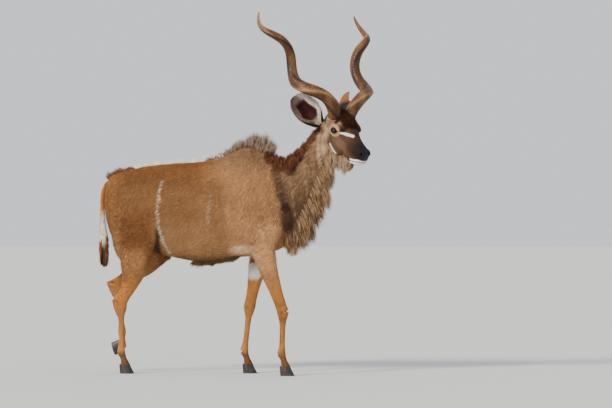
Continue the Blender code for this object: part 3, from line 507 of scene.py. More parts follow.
def gaze_turn(side):
    """Axes of an eyeball in the head's frame: X along its opening, which lies level, Z along its gaze."""
    gaze = unit(np.array(GAZE) * (1, side, 1))
    along = np.array((math.cos(EYE_SLANT), 0.0, math.sin(EYE_SLANT)))
    front = unit(along - (along @ gaze) * gaze)
    return np.stack([front, np.cross(gaze, front), gaze], axis=1)


MOUTH = ((0.176, 0.026, -0.114), (0.205, 0.034, -0.098), (0.232, 0.038, -0.083),
         (0.252, 0.036, -0.070), (0.266, 0.022, -0.062), (0.273, 0.000, -0.060))
LIP_RISE = 0.0075
LIP_SIZE = 0.0065
MOUTH_CUT = (0.008, 0.0022)


def mouth_band(rise, deep, tall):
    """Closed band swept along the mouth line from corner to corner, in the head's frame."""
    half = smooth_rows(MOUTH, 40)
    path = np.vstack([half, (half * (1, -1, 1))[-2::-1]]) + (0, 0, rise)
    along = unit(np.gradient(path, axis=0))
    out = unit(np.cross(along, (0.45, 0.0, 0.89)))
    return swept(eggs(path, out, np.cross(out, along), deep, tall, tall, 1.6, 1.6, 12))


def on_row(shell):
    """Shell of the head's frame placed on the head, before the shift to the row frame."""
    points, faces = shell
    return on_head(points) - shift, faces


def carved(piece, name, points, faces):
    """Piece with one closed form cut out of it."""
    cutter = new_piece(name, points, faces)
    tool = piece.modifiers.new(name, "BOOLEAN")
    tool.operation = "DIFFERENCE"
    tool.solver = "MANIFOLD"
    tool.object = cutter
    applied(piece)
    bpy.data.objects.remove(cutter)
    return piece


def melted(piece, grid):
    """Piece melted into one closed surface on an even grid."""
    tool = piece.modifiers.new("grid", "REMESH")
    tool.mode = "VOXEL"
    tool.voxel_size = grid
    return applied(piece)


def smoothed(piece, rounds, weight=None):
    """Piece smoothed a number of rounds, in full or by a weight for each point."""
    tool = piece.modifiers.new("smooth", "SMOOTH")
    tool.factor = 0.5
    tool.iterations = rounds
    if weight is not None:
        group = piece.vertex_groups.new(name="weight")
        levels = np.round(weight * 10).astype(int)
        for level in range(1, 11):
            group.add(np.flatnonzero(levels == level).tolist(), level / 10, "REPLACE")
        tool.vertex_group = "weight"
    return applied(piece)


def head_side(points):
    """Signed distance from the plane between neck and head, positive on the head."""
    return (points - shift - HEAD_PLANE[0]) @ unit(HEAD_PLANE[1])


shells = skin_shells()
for sign in (-1, 1):
    shells.append(on_row(ball((0.0, sign * EYE_SPREAD, -EYE_DROP), (EYE_RADIUS + LID_THICKNESS,) * 3)))
    shells += [on_row(ball(np.array(place) * (1, sign, 1), radii))
               for place, radii in (BROW, CHEEK, NOSTRIL_WING)]
shells += [on_row(mouth_band(way * LIP_RISE, LIP_SIZE, LIP_SIZE)) for way in (-1, 1)]
skin = new_piece("skin", *joined(shells))
skin.data.transform(Matrix.Translation(shift))
melted(skin, SKIN_GRID)
smoothed(skin, SKIN_ROUNDS)
places = points_of(skin.data)
smoothed(skin, BODY_ROUNDS, soft(places[:, 2], 0.60, 0.75) * (1 - soft(head_side(places), -0.02, 0.03)))
cut_points, cut_faces = mouth_band(0.0, *MOUTH_CUT)
carved(skin, "mouth", on_head(cut_points), cut_faces)
for sign in (-1, 1):
    cut_points, cut_faces = ball(np.array(NOSTRIL[0]) * (1, sign, 1), NOSTRIL[1], rows=14, columns=20)
    carved(skin, "nostril", on_head(cut_points), cut_faces)
    eye_centre = (0.0, sign * EYE_SPREAD, -EYE_DROP)
    cut_points, cut_faces = ball(eye_centre, (EYE_RADIUS + SOCKET_GAP,) * 3, rows=24, columns=36)
    carved(skin, "socket", on_head(cut_points), cut_faces)
    angle = np.linspace(0, 2 * math.pi, 40, endpoint=False)
    almond = np.stack([LID_ROOM * EYE_OPENING[0] * np.cos(angle),
                       LID_ROOM * EYE_OPENING[1] * bulged(np.sin(angle), 1.3), 0 * angle], axis=1)
    prism = np.stack([almond, almond + (0, 0, 0.05)])
    cut_points, cut_faces = swept(prism @ gaze_turn(sign).T + eye_centre)
    carved(skin, "opening", on_head(cut_points), cut_faces)


def coat_depth(points):
    """Depth of the skin under the tips of the coat.

    It is 4 mm at the feet, 8 on the body, 12 on the neck and 2 or less on the face.
    """
    p = points - shift
    on_face = soft(head_side(points), -0.06, 0.02)
    neck = soft(p[:, 0], 0.30, 0.42) * soft(p[:, 2], 0.80, 0.95)
    depth = 0.004 + 0.004 * soft(p[:, 2], 0.35, 0.85) + 0.004 * neck
    depth = depth * (1 - on_face) + 0.0015 * on_face
    muzzle = soft(in_head(points)[:, 0], 0.12, 0.20) * on_face
    return depth * (1 - muzzle)


places = points_of(skin.data)
places -= normals_of(skin.data) * coat_depth(places)[:, None]
skin.data.vertices.foreach_set("co", places.astype(np.float32).ravel())
skin.data.update()
thin = skin.modifiers.new("thin", "DECIMATE")
thin.ratio = min(1.0, SKIN_TRIANGLES / (2 * len(skin.data.polygons)))
applied(skin)
skin.modifiers.new("corners", "TRIANGULATE")
applied(skin)
shaded_smooth(skin)

STRIPES = (((-0.4275, 1.250), (-0.437, 1.180), (-0.443, 1.053), (-0.431, 0.943), (-0.416, 0.867),
            (-0.395, 0.800), (-0.372, 0.745)), ((-0.085, 1.180), (-0.088, 1.100), (-0.095, 0.990)))
STRIPE_STRENGTHS = (1.0, 0.30)
CHEEK_MARKS = (((-0.004, -0.116), (0.069, -0.1415), 0.0065), ((0.108, -0.150), (0.116, -0.152), 0.011))


def near_line(across, along, start, end, width):
    """Mask round a straight piece of line: 1 within half the width, 0 beyond it."""
    start, end = np.array(start), np.array(end)
    step = end - start
    share = np.clip(((across - start[0]) * step[0] + (along - start[1]) * step[1]) / (step @ step), 0, 1)
    gap = np.hypot(across - start[0] - share * step[0], along - start[1] - share * step[1])
    return 1 - soft(gap, 0.55 * width, 1.25 * width)


def waves(points, scale, seed):
    """Smooth cloud of value about 0, from sums of sine waves in seeded directions."""
    rng = np.random.default_rng(seed)
    total = np.zeros(len(points))
    for level in range(6):
        way = unit(rng.normal(size=3)) * scale * (1 + 0.45 * level)
        total += np.sin(points @ way * 2 * math.pi + rng.uniform(0, 6.28)) / (1 + 0.3 * level)
    return total / 3.2


def blend(colour, other, mask):
    """Colours mixed towards another by a mask for each point."""
    return colour + (np.asarray(other) - colour) * np.clip(mask, 0, 1)[:, None]


TONE_GAIN = 1.36
TONE_POWER = 1.22
HIDE_SHADE = 0.80


def above_mouth(forward, up):
    """Height over the mouth line of places on the face."""
    line = np.array(MOUTH)
    return up - np.interp(forward, line[:, 0], line[:, 2])


def along_eye(forward, up):
    """Places on the face measured along the slit of the eye and square to it, from the eye's middle."""
    level = up + EYE_DROP
    return (math.cos(EYE_SLANT) * forward + math.sin(EYE_SLANT) * level,
            math.cos(EYE_SLANT) * level - math.sin(EYE_SLANT) * forward)


def markings(points):
    """Linear colour of the coat at each point: ground colour, shading by region, then markings.

    Each line mixes the colour so far towards one tone by a mask of smooth steps in the point's place. Some of
    these tones are painted shade: the crease in front of the thigh, the lower flank and the underside of the
    belly, and in part the groove between neck and shoulder.
    """
    x, y, z = (points - shift).T
    wander = waves(points, 2.2, 3)
    speckle = waves(points, 9.0, 4)
    c = np.tile(tone(162, 124, 85), (len(points), 1))
    c = blend(c, tone(146, 108, 71), soft(z + 0.03 * wander, 0.92, 1.04))
    c = blend(c, tone(134, 94, 56), soft(z + 0.03 * wander, 1.16, 1.34) * soft(-x, -0.12, 0.10))
    c = blend(c, tone(178, 137, 98), soft(x + 0.04 * wander, -0.26, 0.16))
    c = blend(c, tone(192, 150, 110), soft(x, 0.02, 0.16) * (1 - soft(z, 0.92, 1.06)))
    c = blend(c, tone(143, 112, 84), soft(z, 1.26, 1.42) * soft(x, -0.06, 0.05))
    c = blend(c, tone(160, 115, 72), soft(-x, 0.66, 0.82) * soft(z, 0.80, 1.0))
    c = blend(c, tone(134, 92, 54), soft(-x, 0.44, 0.52) * (1 - soft(z, 0.98, 1.10))
              * (1 - soft(-x, 0.66, 0.74)))
    c = blend(c, tone(168, 126, 85), soft(-x, 0.50, 0.56) * (1 - soft(z, 0.76, 0.86)))
    # Painted shade: the dark crease in front of the thigh.
    c = blend(c, tone(84, 56, 34), near_line(x, z, (-0.440, 0.94), (-0.475, 0.78), 0.020))
    c = blend(c, tone(118, 84, 54), near_line(x, z, (-0.06, 1.22), (-0.03, 0.92), 0.060) * 0.3)
    # Painted shade: the lower flank darker, and the underside of the belly darker still.
    c = blend(c, tone(138, 102, 68), (1 - soft(z + 0.02 * wander, 0.74, 0.80)) * soft(x, -0.45, -0.30)
              * (1 - soft(x, 0.02, 0.10)))
    c = blend(c, tone(96, 66, 44), (1 - soft(z + 0.012 * speckle, 0.715, 0.750)) * soft(x, -0.36, -0.28)
              * (1 - soft(x, 0.00, 0.06)) * (1 - soft(np.abs(y), 0.06, 0.12)))
    c = blend(c, tone(232, 198, 162), (1 - soft(np.hypot((x - 0.100) / 1.7, z - 0.795), 0.025, 0.065))
              * soft(np.abs(y), 0.04, 0.08))
    c = blend(c, tone(30, 20, 15), 1 - soft(np.hypot(x - 0.130, z - 0.742), 0.014, 0.030))
    c = blend(c, tone(214, 172, 130), (1 - soft(np.hypot(x + 0.385, z - 0.735), 0.012, 0.045)))
    c = blend(c, tone(232, 220, 204), 0.9 * soft(z, 1.345, 1.362) * soft(-x, 0.02, 0.08)
              * soft(x, -0.64, -0.54) * (1 - soft(np.abs(y), 0.012, 0.038)))
    for line, strength in zip(STRIPES, STRIPE_STRENGTHS):
        line_x, line_z = np.array(line).T
        middle = np.interp(z, line_z[::-1], line_x[::-1]) + 0.003 * speckle
        reach = soft(z, line_z[-1] - 0.03, line_z[-1] + 0.01)
        reach = reach * (1 - soft(z, line_z[0] - 0.03, line_z[0] + 0.03))
        width = 0.0042 * (0.75 + 0.5 * soft(-z, -1.10, -0.80))
        c = blend(c, tone(240, 226, 204), strength * reach * np.exp(-((x - middle) / width) ** 2)
                  * soft(np.abs(y), 0.06, 0.12))

    leg = 1 - soft(z + 0.02 * wander, 0.52, 0.72)
    c = blend(c, tone(203, 146, 84), leg)
    shade = (1 - soft(z, 0.30, 0.56)) * 0.5
    c = blend(c, tone(170, 126, 80), leg * shade)
    inner_white = (1 - soft(np.hypot((x - 0.115) / 1.1, z - 0.668 + 0.008 * speckle), 0.035, 0.066)) * (
        1 - soft(np.abs(y), 0.125, 0.150))
    c = blend(c, tone(244, 236, 222), inner_white * soft(x, -0.06, -0.02))
    cannon_front = soft(z, 0.10, 0.16) * (1 - soft(z, 0.40, 0.60))
    c = blend(c, tone(96, 66, 40), 0.55 * cannon_front * soft(speckle, -0.9, 1.0)
              * soft(np.cos(14 * x + 1.3) + 0.4 * wander, 0.35, 1.1))
    pastern = 1 - soft(z, 0.115, 0.160)
    c = blend(c, tone(92, 66, 44), 0.75 * pastern)

    neck = soft(x + 0.2 * (z - 1.06), 0.335, 0.400) * soft(z, 0.86, 0.95)
    c = blend(c, tone(158, 128, 98), neck)
    c = blend(c, tone(128, 99, 74), neck * (1 - soft(z, 1.08, 1.34)))
    c = blend(c, tone(190, 160, 130), 0.45 * neck * soft(waves(points * (1, 1, 0.25), 16.0, 8), 0.1, 0.8))
    c = blend(c, tone(96, 66, 46), 0.35 * neck * soft(-waves(points * (1, 1, 0.25), 14.0, 9), 0.2, 0.9))
    # Dark line where the neck meets the shoulder: partly darker hair, partly painted shade in the groove.
    neck_groove_shade = near_line(x, z, (0.325, 1.36), (0.395, 1.10), 0.030) + near_line(
        x, z, (0.395, 1.10), (0.420, 0.84), 0.034)
    c = blend(c, tone(74, 52, 38), 0.55 * neck_groove_shade * soft(np.abs(y), 0.04, 0.09))
    nape_x = np.interp(z, (1.30, 1.34, 1.40, 1.485, 1.60, 1.68), (0.440, 0.460, 0.500, 0.530, 0.600, 0.650))
    nape = (1 - soft(x - nape_x + 0.010 * speckle, -0.015, 0.015)) * neck * soft(z, 1.29, 1.35)
    c = blend(c, tone(88, 46, 22), nape)
    c = blend(c, tone(30, 20, 16), nape * soft(waves(points, 7.0, 12), -0.05, 0.4))

    head = soft(head_side(points), -0.030, 0.015)
    forward, left, up = in_head(points).T
    aside = np.abs(left)
    f = np.tile(tone(100, 77, 58), (len(points), 1))
    f = blend(f, tone(182, 154, 126), 1 - soft(forward - 0.25 * up, -0.050, 0.000))
    f = blend(f, tone(132, 106, 84), near_line(forward, up, (0.03, -0.05), (0.11, -0.06), 0.035) * 0.6)
    f = blend(f, tone(206, 176, 146), (1 - soft(up, -0.175, -0.120)) * (1 - soft(forward, 0.09, 0.15)))
    f = blend(f, tone(150, 122, 96), near_line(forward, up, (-0.07, -0.01), (-0.01, 0.035), 0.03)
              * soft(aside, 0.04, 0.06))
    slit, lash = along_eye(forward, up)
    f = blend(f, tone(182, 154, 124), 1 - soft(np.hypot(slit, 1.3 * lash), 0.046, 0.058))
    f = blend(f, tone(92, 62, 40), (1 - soft(aside, 0.040, 0.066)) * soft(up, 0.000, 0.022)
              * (1 - soft(forward, 0.04, 0.08)))
    f = blend(f, tone(58, 34, 20), (1 - soft(aside + 0.1 * speckle, 0.030, 0.052)) * soft(up, 0.005, 0.025)
              * (1 - soft(forward, 0.05, 0.09)))
    f = blend(f, tone(66, 42, 28), (1 - soft(aside, 0.020, 0.036)) * soft(up, 0.0, 0.02)
              * soft(forward, 0.06, 0.11))
    f = blend(f, tone(84, 54, 36), soft(forward, 0.09, 0.16) * soft(up, -0.085, -0.045))
    f = blend(f, tone(44, 26, 18), soft(forward + 0.3 * up, 0.140, 0.205) * soft(up, -0.070, -0.030))
    across, down = 0.48 * forward + 0.36 * up - 0.80 * aside, 0.60 * forward - 0.80 * up
    bar_width = 0.0062 + 0.0035 * soft(across, -0.03, 0.01)
    bar = near_line(across, down, (-0.0310, 0.0230), (0.0470, 0.0440), bar_width) * soft(up, -0.040, -0.025)
    f = blend(f, tone(250, 244, 230), bar * soft(np.abs(left - 0.022), 0.016, 0.022))
    for start, end, width in CHEEK_MARKS:
        streak = near_line(forward, up, start, end, width)
        f = blend(f, tone(250, 242, 226), streak * soft(aside, 0.03, 0.045))
    rise = above_mouth(forward, up)
    f = blend(f, tone(255, 249, 236), soft(forward, 0.168, 0.190) * soft(rise, -0.050, -0.040)
              * (1 - soft(rise, 0.014, 0.020)))
    f = blend(f, tone(250, 240, 222), soft(forward, 0.130, 0.170) * (1 - soft(up, -0.128, -0.116)))
    f = blend(f, tone(48, 30, 24), near_line(forward, up, (0.135, -0.122), (0.182, -0.108), 0.012))
    pad = nose_pad(points)
    f = blend(f, tone(20, 14, 14), pad)
    f = blend(f, tone(26, 16, 14), (1 - soft(np.abs(rise), 0.0028, 0.0046)) * soft(forward, 0.17, 0.185))
    f = blend(f, tone(16, 10, 8), 1 - soft(np.hypot(slit + 0.003, 1.7 * lash), 0.0340, 0.0375))
    c = blend(c, f, head)

    tail_mask = soft(-x, 0.868, 0.882) * soft(z, 0.60, 0.66)
    t = blend(np.tile(tone(184, 124, 72), (len(points), 1)), tone(240, 232, 214),
              soft(x + 0.893, -0.012, 0.004) * (1 - soft(z, 1.03, 1.10)))
    t = blend(t, tone(26, 18, 15), 1 - soft(z, 0.86, 0.90))
    c = blend(c, t, tail_mask)
    c = c * (1 + 0.12 * wander + 0.08 * speckle)[:, None]
    return TONE_GAIN * np.maximum(c, 0.0) ** TONE_POWER


def nose_pad(points):
    """Mask of the bare wet pad round and between the nostrils."""
    forward, left, up = in_head(points).T
    return (soft(forward - 0.5 * np.abs(left) + 0.25 * up, 0.225, 0.240) * soft(up, -0.052, -0.044)
            * soft(head_side(points), 0.0, 0.02))


def write_colour(piece, colours):
    """Linear colours kept on the piece's points, under the name that its material reads."""
    layer = piece.data.color_attributes.new("Coat", "FLOAT_COLOR", "POINT")
    full = np.ones((len(colours), 4), dtype=np.float32)
    full[:, :3] = np.clip(colours, 0.002, 0.95)
    layer.data.foreach_set("color", full.ravel())


def write_value(piece, name, values):
    """One number kept on each point of a piece."""
    layer = piece.data.attributes.new(name, "FLOAT", "POINT")
    layer.data.foreach_set("value", np.asarray(values, dtype=np.float32))


bpy.context.view_layer.objects.active = skin
skin.select_set(True)
skin.data.uv_layers.new(name="OFBake")
bpy.ops.object.mode_set(mode="EDIT")
bpy.ops.mesh.select_all(action="SELECT")
bpy.ops.uv.smart_project(angle_limit=math.radians(66), island_margin=0.001)
bpy.ops.object.mode_set(mode="OBJECT")

skin_points = points_of(skin.data)
skin_faces = np.empty(len(skin.data.polygons) * 3, dtype=np.int32)
skin.data.loops.foreach_get("vertex_index", skin_faces)
skin_faces = skin_faces.reshape(-1, 3)
skin_map = np.empty(len(skin.data.loops) * 2, dtype=np.float32)
skin.data.uv_layers["OFBake"].data.foreach_get("uv", skin_map)
skin_map = skin_map.reshape(-1, 3, 2).astype(float)
face_corners = skin_points[skin_faces]
face_middles = face_corners.mean(axis=1)
face_normals = np.cross(face_corners[:, 1] - face_corners[:, 0], face_corners[:, 2] - face_corners[:, 0])
face_areas = np.linalg.norm(face_normals, axis=1) / 2
face_normals = unit(face_normals)
write_colour(skin, HIDE_SHADE * markings(skin_points))
write_value(skin, "Wet", nose_pad(skin_points))

skin_material, skin_shader, skin_place = new_material("hide", 0.75, specular=0.25)
ground = skin_place.node("ShaderNodeAttribute", {"attribute_name": "Coat"})
wet = skin_place.node("ShaderNodeAttribute", {"attribute_name": "Wet"}, output=2)
grain = skin_place.stretched((260, 520, 190)).noise(1.0, 2.0)
mottle = skin_place.noise(38.0, 4.0)
dapple = mottle.span(0.35, 0.75, 0.0, 0.22) * (1 - wet)
feed(skin_shader, "Base Color", ground.mixed((0.0, 0.0, 0.0, 1.0), dapple))
feed(skin_shader, "Roughness", wet.span(0.2, 0.8, 0.78, 0.30))
pebbles = skin_place.node("ShaderNodeTexVoronoi", {}, {"Vector": skin_place, "Scale": 420.0})
bumped(skin_shader, grain * (1 - wet) + pebbles * wet, 0.6, 0.0015)
skin.data.materials.clear()
skin.data.materials.append(skin_material)
skin.data.polygons.foreach_set("material_index", np.zeros(len(skin.data.polygons), dtype=np.int32))
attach(skin, "root")
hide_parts("torso", "neck", "head", "tail", "fore_leg_right", "fore_leg_left", "hind_leg_right",
            "hind_leg_left")

# Short coat
# Hair of trunk, legs, neck and face as small solid tufts that lie back and down over the hide.
# Each is rooted in the skin, tapers to a point and takes its colour from the markings there.
# A row of COATS holds slot, number of tufts, length, width, rings, lift off the hide and seed.
COATS = {
    "body_tufts": ("body_coat", 49000, 0.034, 0.0066, 1, 0.26, 11),
    "leg_tufts": ("leg_coat", 46000, 0.013, 0.0036, 1, 0.24, 12),
    "neck_tufts": ("neck_coat", 19500, 0.052, 0.0056, 2, 0.26, 13),
    "face_tufts": ("face_coat", 48000, 0.0085, 0.0023, 1, 0.20, 14),
}


def coat_regions(points):
    """Share of each coat at points: trunk, legs, neck and face, which add up to 1."""
    p = points - shift
    face = soft(head_side(points), -0.015, 0.010)
    neck = soft(p[:, 0] + 0.2 * (p[:, 2] - 1.06), 0.325, 0.385) * soft(p[:, 2], 0.84, 0.92) * (1 - face)
    leg = (1 - soft(p[:, 2], 0.64, 0.74)) * (1 - neck) * (1 - face)
    tail = soft(-p[:, 0], 0.868, 0.880) * soft(p[:, 2], 0.60, 0.64)
    return {"body_coat": (1 - face - neck) * (1 - leg) * (1 - tail), "leg_coat": leg * (1 - tail),
            "neck_coat": neck, "face_coat": face, "tail_coat": tail}


def lie_of_coat(points, normals):
    """Direction in which hair points: a wanted direction for each region, laid into the surface."""
    x, y, z = (points - shift).T
    want = np.tile((-0.80, 0.0, -0.62), (len(points), 1))
    want = blend(want, (-0.95, 0.0, -0.10), soft(z, 1.25, 1.36) * (1 - soft(x, 0.1, 0.25)))
    want = blend(want, (-0.30, 0.0, -1.0), soft(x, 0.02, 0.18))
    want = blend(want, (-0.35, 0.0, -0.95), soft(-x, 0.45, 0.70))
    want = blend(want, (-0.95, 0.0, -0.25), (1 - soft(z, 0.80, 0.95)) * soft(x, -0.45, -0.3))
    want = blend(want, (-0.10, 0.0, -1.0), 1 - soft(z, 0.60, 0.75))
    neck = soft(x + 0.2 * (z - 1.06), 0.325, 0.400) * soft(z, 0.84, 0.92)
    want = blend(want, (-0.22, 0.0, -1.0), neck)
    want = blend(want, (-0.85, 0.0, -0.45), neck * soft(normals[:, 2], 0.25, 0.65))
    head = soft(head_side(points), -0.03, 0.02)
    forward, left, up = in_head(points).T
    face_way = np.stack([-1.0 - 0 * forward, 0.3 * left / 0.06, -0.15 - 1.5 * (0.03 - up).clip(0, 0.15)],
                        axis=1)
    want = want * (1 - head)[:, None] + (face_way @ head_axes.T) * head[:, None]
    want = want + 0.10 * np.stack([waves(points, 5.0, seed) for seed in (21, 22, 23)], axis=1)
    return unit(want - np.sum(want * normals, axis=1)[:, None] * normals)


def rooted(weight, count, seed):
    """Roots spread over the skin by a weight for each face: places, normals, places on its unwrap."""
    rng = np.random.default_rng(seed)
    reach = np.cumsum(face_areas * weight)
    pick = np.searchsorted(reach, (np.arange(count) + rng.random(count)) / count * reach[-1])
    pick = np.minimum(pick, len(face_areas) - 1)
    a, b = rng.random((2, count, 1))
    a, b = np.where(a + b > 1, 1 - a, a), np.where(a + b > 1, 1 - b, b)
    share = np.concatenate([1 - a - b, a, b], axis=1)
    return (np.einsum("ij,ijk->ik", share, face_corners[pick]), face_normals[pick],
            np.einsum("ij,ijk->ik", share, skin_map[pick]))


def tufts(name, roots, lie, normals, length, width, thick, rings, bend, root_colour, tip_colour, patch):
    """Solid tufts: triangles along root + lie * length * t + bend * t^2, drawn in to a point at t = 1.

    A triangle's corners stand at half the width to each side and at two thirds of the thickness outwards.
    """
    count = len(roots)
    t = np.linspace(0, 1, rings + 1)
    line = (roots[:, None] + lie[:, None] * (length[:, None] * t)[..., None]
            + bend[:, None] * (t ** 2)[None, :, None])
    along = unit(np.gradient(line, axis=1) if rings > 1 else np.repeat(line[:, 1:] - line[:, :1], 2, axis=1))
    side = unit(np.cross(along, normals[:, None]))
    out = np.cross(side, along)
    full = (0.70 + 0.30 * np.sin(math.pi * t)) * (1 - 0.97 * t ** 2.5)
    wide = (width[:, None] * full)[:, :-1, None]
    deep = (thick[:, None] * full)[:, :-1, None]
    rings_of = np.stack([line[:, :-1] + 0.5 * wide * side[:, :-1] - 0.33 * deep * out[:, :-1],
                         line[:, :-1] - 0.5 * wide * side[:, :-1] - 0.33 * deep * out[:, :-1],
                         line[:, :-1] + 0.67 * deep * out[:, :-1]], axis=2).reshape(count, rings * 3, 3)
    points = np.concatenate([rings_of, line[:, -1:]], axis=1)
    each = rings * 3 + 1
    low = np.arange(rings - 1)[:, None] * 3 + np.arange(3)[None, :]
    turn = np.arange(rings - 1)[:, None] * 3 + (np.arange(3)[None, :] + 1) % 3
    walls = np.concatenate([np.stack([low, turn, turn + 3], axis=-1).reshape(-1, 3),
                            np.stack([low, turn + 3, low + 3], axis=-1).reshape(-1, 3)])
    top = (rings - 1) * 3
    tip = each - 1
    pattern = np.concatenate([[[0, 2, 1]], walls.reshape(-1, 3),
                              [[top, top + 1, tip], [top + 1, top + 2, tip], [top + 2, top, tip]]])
    faces = (pattern[None] + (np.arange(count) * each)[:, None, None]).reshape(-1, 3)
    piece = new_piece(name, points.reshape(-1, 3), faces)
    share = np.append(np.repeat(t[:-1], 3), 1.0)
    colours = root_colour[:, None] + (tip_colour - root_colour)[:, None] * share[None, :, None]
    write_colour(piece, colours.reshape(-1, 3))
    across = np.append(np.tile((-1.0, 1.0, 0.0), rings), 0.0)
    spot = np.stack([0.0014 * across, 0.0030 * (share - 0.5) + 0.0004 * (across == 0)], axis=1)
    places_on_map = (patch[:, None] + spot[None])[:, pattern.ravel()]
    layer = piece.data.uv_layers.new(name="OFBake")
    layer.data.foreach_set("uv", places_on_map.astype(np.float32).ravel())
    piece.data.update()
    return piece


def hair_material(name, roughness, specular, sheen):
    """Material of a coat: the kept colour, a little darker and lighter from tuft to tuft."""
    material, shader, place = new_material(name, roughness, specular=specular, sheen=sheen)
    kept = place.node("ShaderNodeAttribute", {"attribute_name": "Coat"})
    patchy = place.noise(30.0, 3.0)
    fine = place.noise(420.0, 2.0)
    shade = kept.mixed((0.02, 0.012, 0.008, 1.0), patchy.span(0.45, 0.80, 0.0, 0.25))
    feed(shader, "Base Color", shade.mixed((0.90, 0.72, 0.52, 1.0), fine.span(0.52, 0.80, 0.0, 0.06)))
    feed(shader, "Roughness", patchy.span(0.3, 0.7, roughness - 0.06, roughness + 0.08))
    bumped(shader, fine, 0.35, 0.0008)
    return material


coat_hair = hair_material("short_hair", 0.66, 0.14, 0.04)
long_hair = hair_material("long_hair", 0.60, 0.20, 0.04)
middle_regions = coat_regions(face_middles)


def bare(points):
    """Share of hair at points: none on the nose pad, in the eye openings, mouth or nostrils."""
    forward, left, up = in_head(points).T
    slit, lash = along_eye(forward, up)
    lid = (1 - soft(np.hypot(slit, 1.45 * lash), 0.0255, 0.0300)) * soft(np.abs(left), 0.05, 0.06)
    rise = above_mouth(forward, up)
    lips = (1 - soft(np.abs(rise), 0.0045, 0.008)) * soft(forward, 0.165, 0.178)
    near_head = soft(head_side(points), 0.0, 0.02)
    return (1 - nose_pad(points)) * (1 - near_head * np.maximum(lid, lips))


for name, (slot, count, length, width, rings, lift, seed) in COATS.items():
    rng = np.random.default_rng(seed)
    weight = middle_regions[slot] * bare(face_middles)
    if slot == "face_coat":
        weight = weight * (1 + 0.8 * soft(in_head(face_middles)[:, 0], 0.02, 0.16))
    roots, normals, patch = rooted(weight, count, seed)
    lie = lie_of_coat(roots, normals)
    colour = markings(roots) * rng.uniform(0.86, 1.12, (count, 1))
    long = length * rng.uniform(0.75, 1.2, count)
    if slot == "leg_coat":
        long = long * (0.6 + 1.1 * soft(roots[:, 2] - shift[2], 0.10, 0.70))
    if slot == "face_coat":
        forward, left, up = in_head(roots).T
        near_eye = soft(forward, -0.04, 0.0) * (1 - soft(np.hypot(forward, up), 0.03, 0.06))
        long = long * (1.35 - 0.95 * soft(forward, -0.02, 0.20)) * (1 - 0.35 * near_eye)
    raised = unit(lie + lift * normals * rng.uniform(0.4, 1.5, (count, 1)))
    sunk = roots - 0.10 * long[:, None] * raised
    tufts_piece = tufts(name, sunk, raised, normals, long, width * rng.uniform(0.8, 1.2, count),
                        0.30 * width * rng.uniform(0.8, 1.2, count), rings,
                        -0.10 * long[:, None] * normals * rng.uniform(0.3, 1.4, (count, 1)),
                        0.80 * colour, 1.10 * colour, patch)
    tufts_piece.data.materials.append(coat_hair)
    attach(tufts_piece, "root")

# Long hair
# Crest over the withers, mane down the nape, fringe under the throat, chin beard, belly line,
# tail tuft and the dark pad of hair between the horns. Each strand is a bent, tapering lock.
# A row of each line holds x and z of a root in the middle, then x and z of the hair's tip there.
CREST = ((-0.160, 1.395, -0.165, 1.435), (-0.050, 1.430, -0.055, 1.496), (0.050, 1.480, 0.060, 1.570),
         (0.130, 1.488, 0.160, 1.612), (0.200, 1.462, 0.240, 1.598), (0.262, 1.420, 0.330, 1.548))
NAPE = ((0.290, 1.410, 0.300, 1.475), (0.350, 1.380, 0.345, 1.435), (0.412, 1.400, 0.385, 1.462),
        (0.474, 1.455, 0.440, 1.512), (0.530, 1.520, 0.495, 1.565), (0.580, 1.588, 0.545, 1.618))
FRINGE = ((0.715, 1.425, 0.745, 1.290), (0.675, 1.390, 0.715, 1.235), (0.615, 1.290, 0.690, 1.130),
          (0.585, 1.210, 0.678, 1.020), (0.550, 1.120, 0.650, 0.910), (0.510, 1.040, 0.600, 0.830),
          (0.465, 0.965, 0.540, 0.765), (0.425, 0.915, 0.475, 0.735), (0.385, 0.880, 0.405, 0.720))
DORSAL = ((-0.840, 1.285, -0.895, 1.330), (-0.780, 1.313, -0.820, 1.364), (-0.700, 1.337, -0.740, 1.376),
          (-0.550, 1.366, -0.595, 1.400), (-0.350, 1.383, -0.395, 1.420), (-0.150, 1.400, -0.195, 1.440),
          (-0.050, 1.430, -0.090, 1.476))
BELLY = ((0.020, 0.760, -0.045, 0.705), (-0.110, 0.745, -0.175, 0.698), (-0.240, 0.745, -0.300, 0.703))
BEARD = ((0.825, 1.388, 0.815, 1.315), (0.780, 1.400, 0.768, 1.250), (0.715, 1.430, 0.705, 1.270))
STRAND_SINK = 0.006
TAIL_HAIRS = 7000
TAIL_TIP = 0.690
FOREHEAD_HAIRS = 5200
FOREHEAD_LENGTH = 0.030


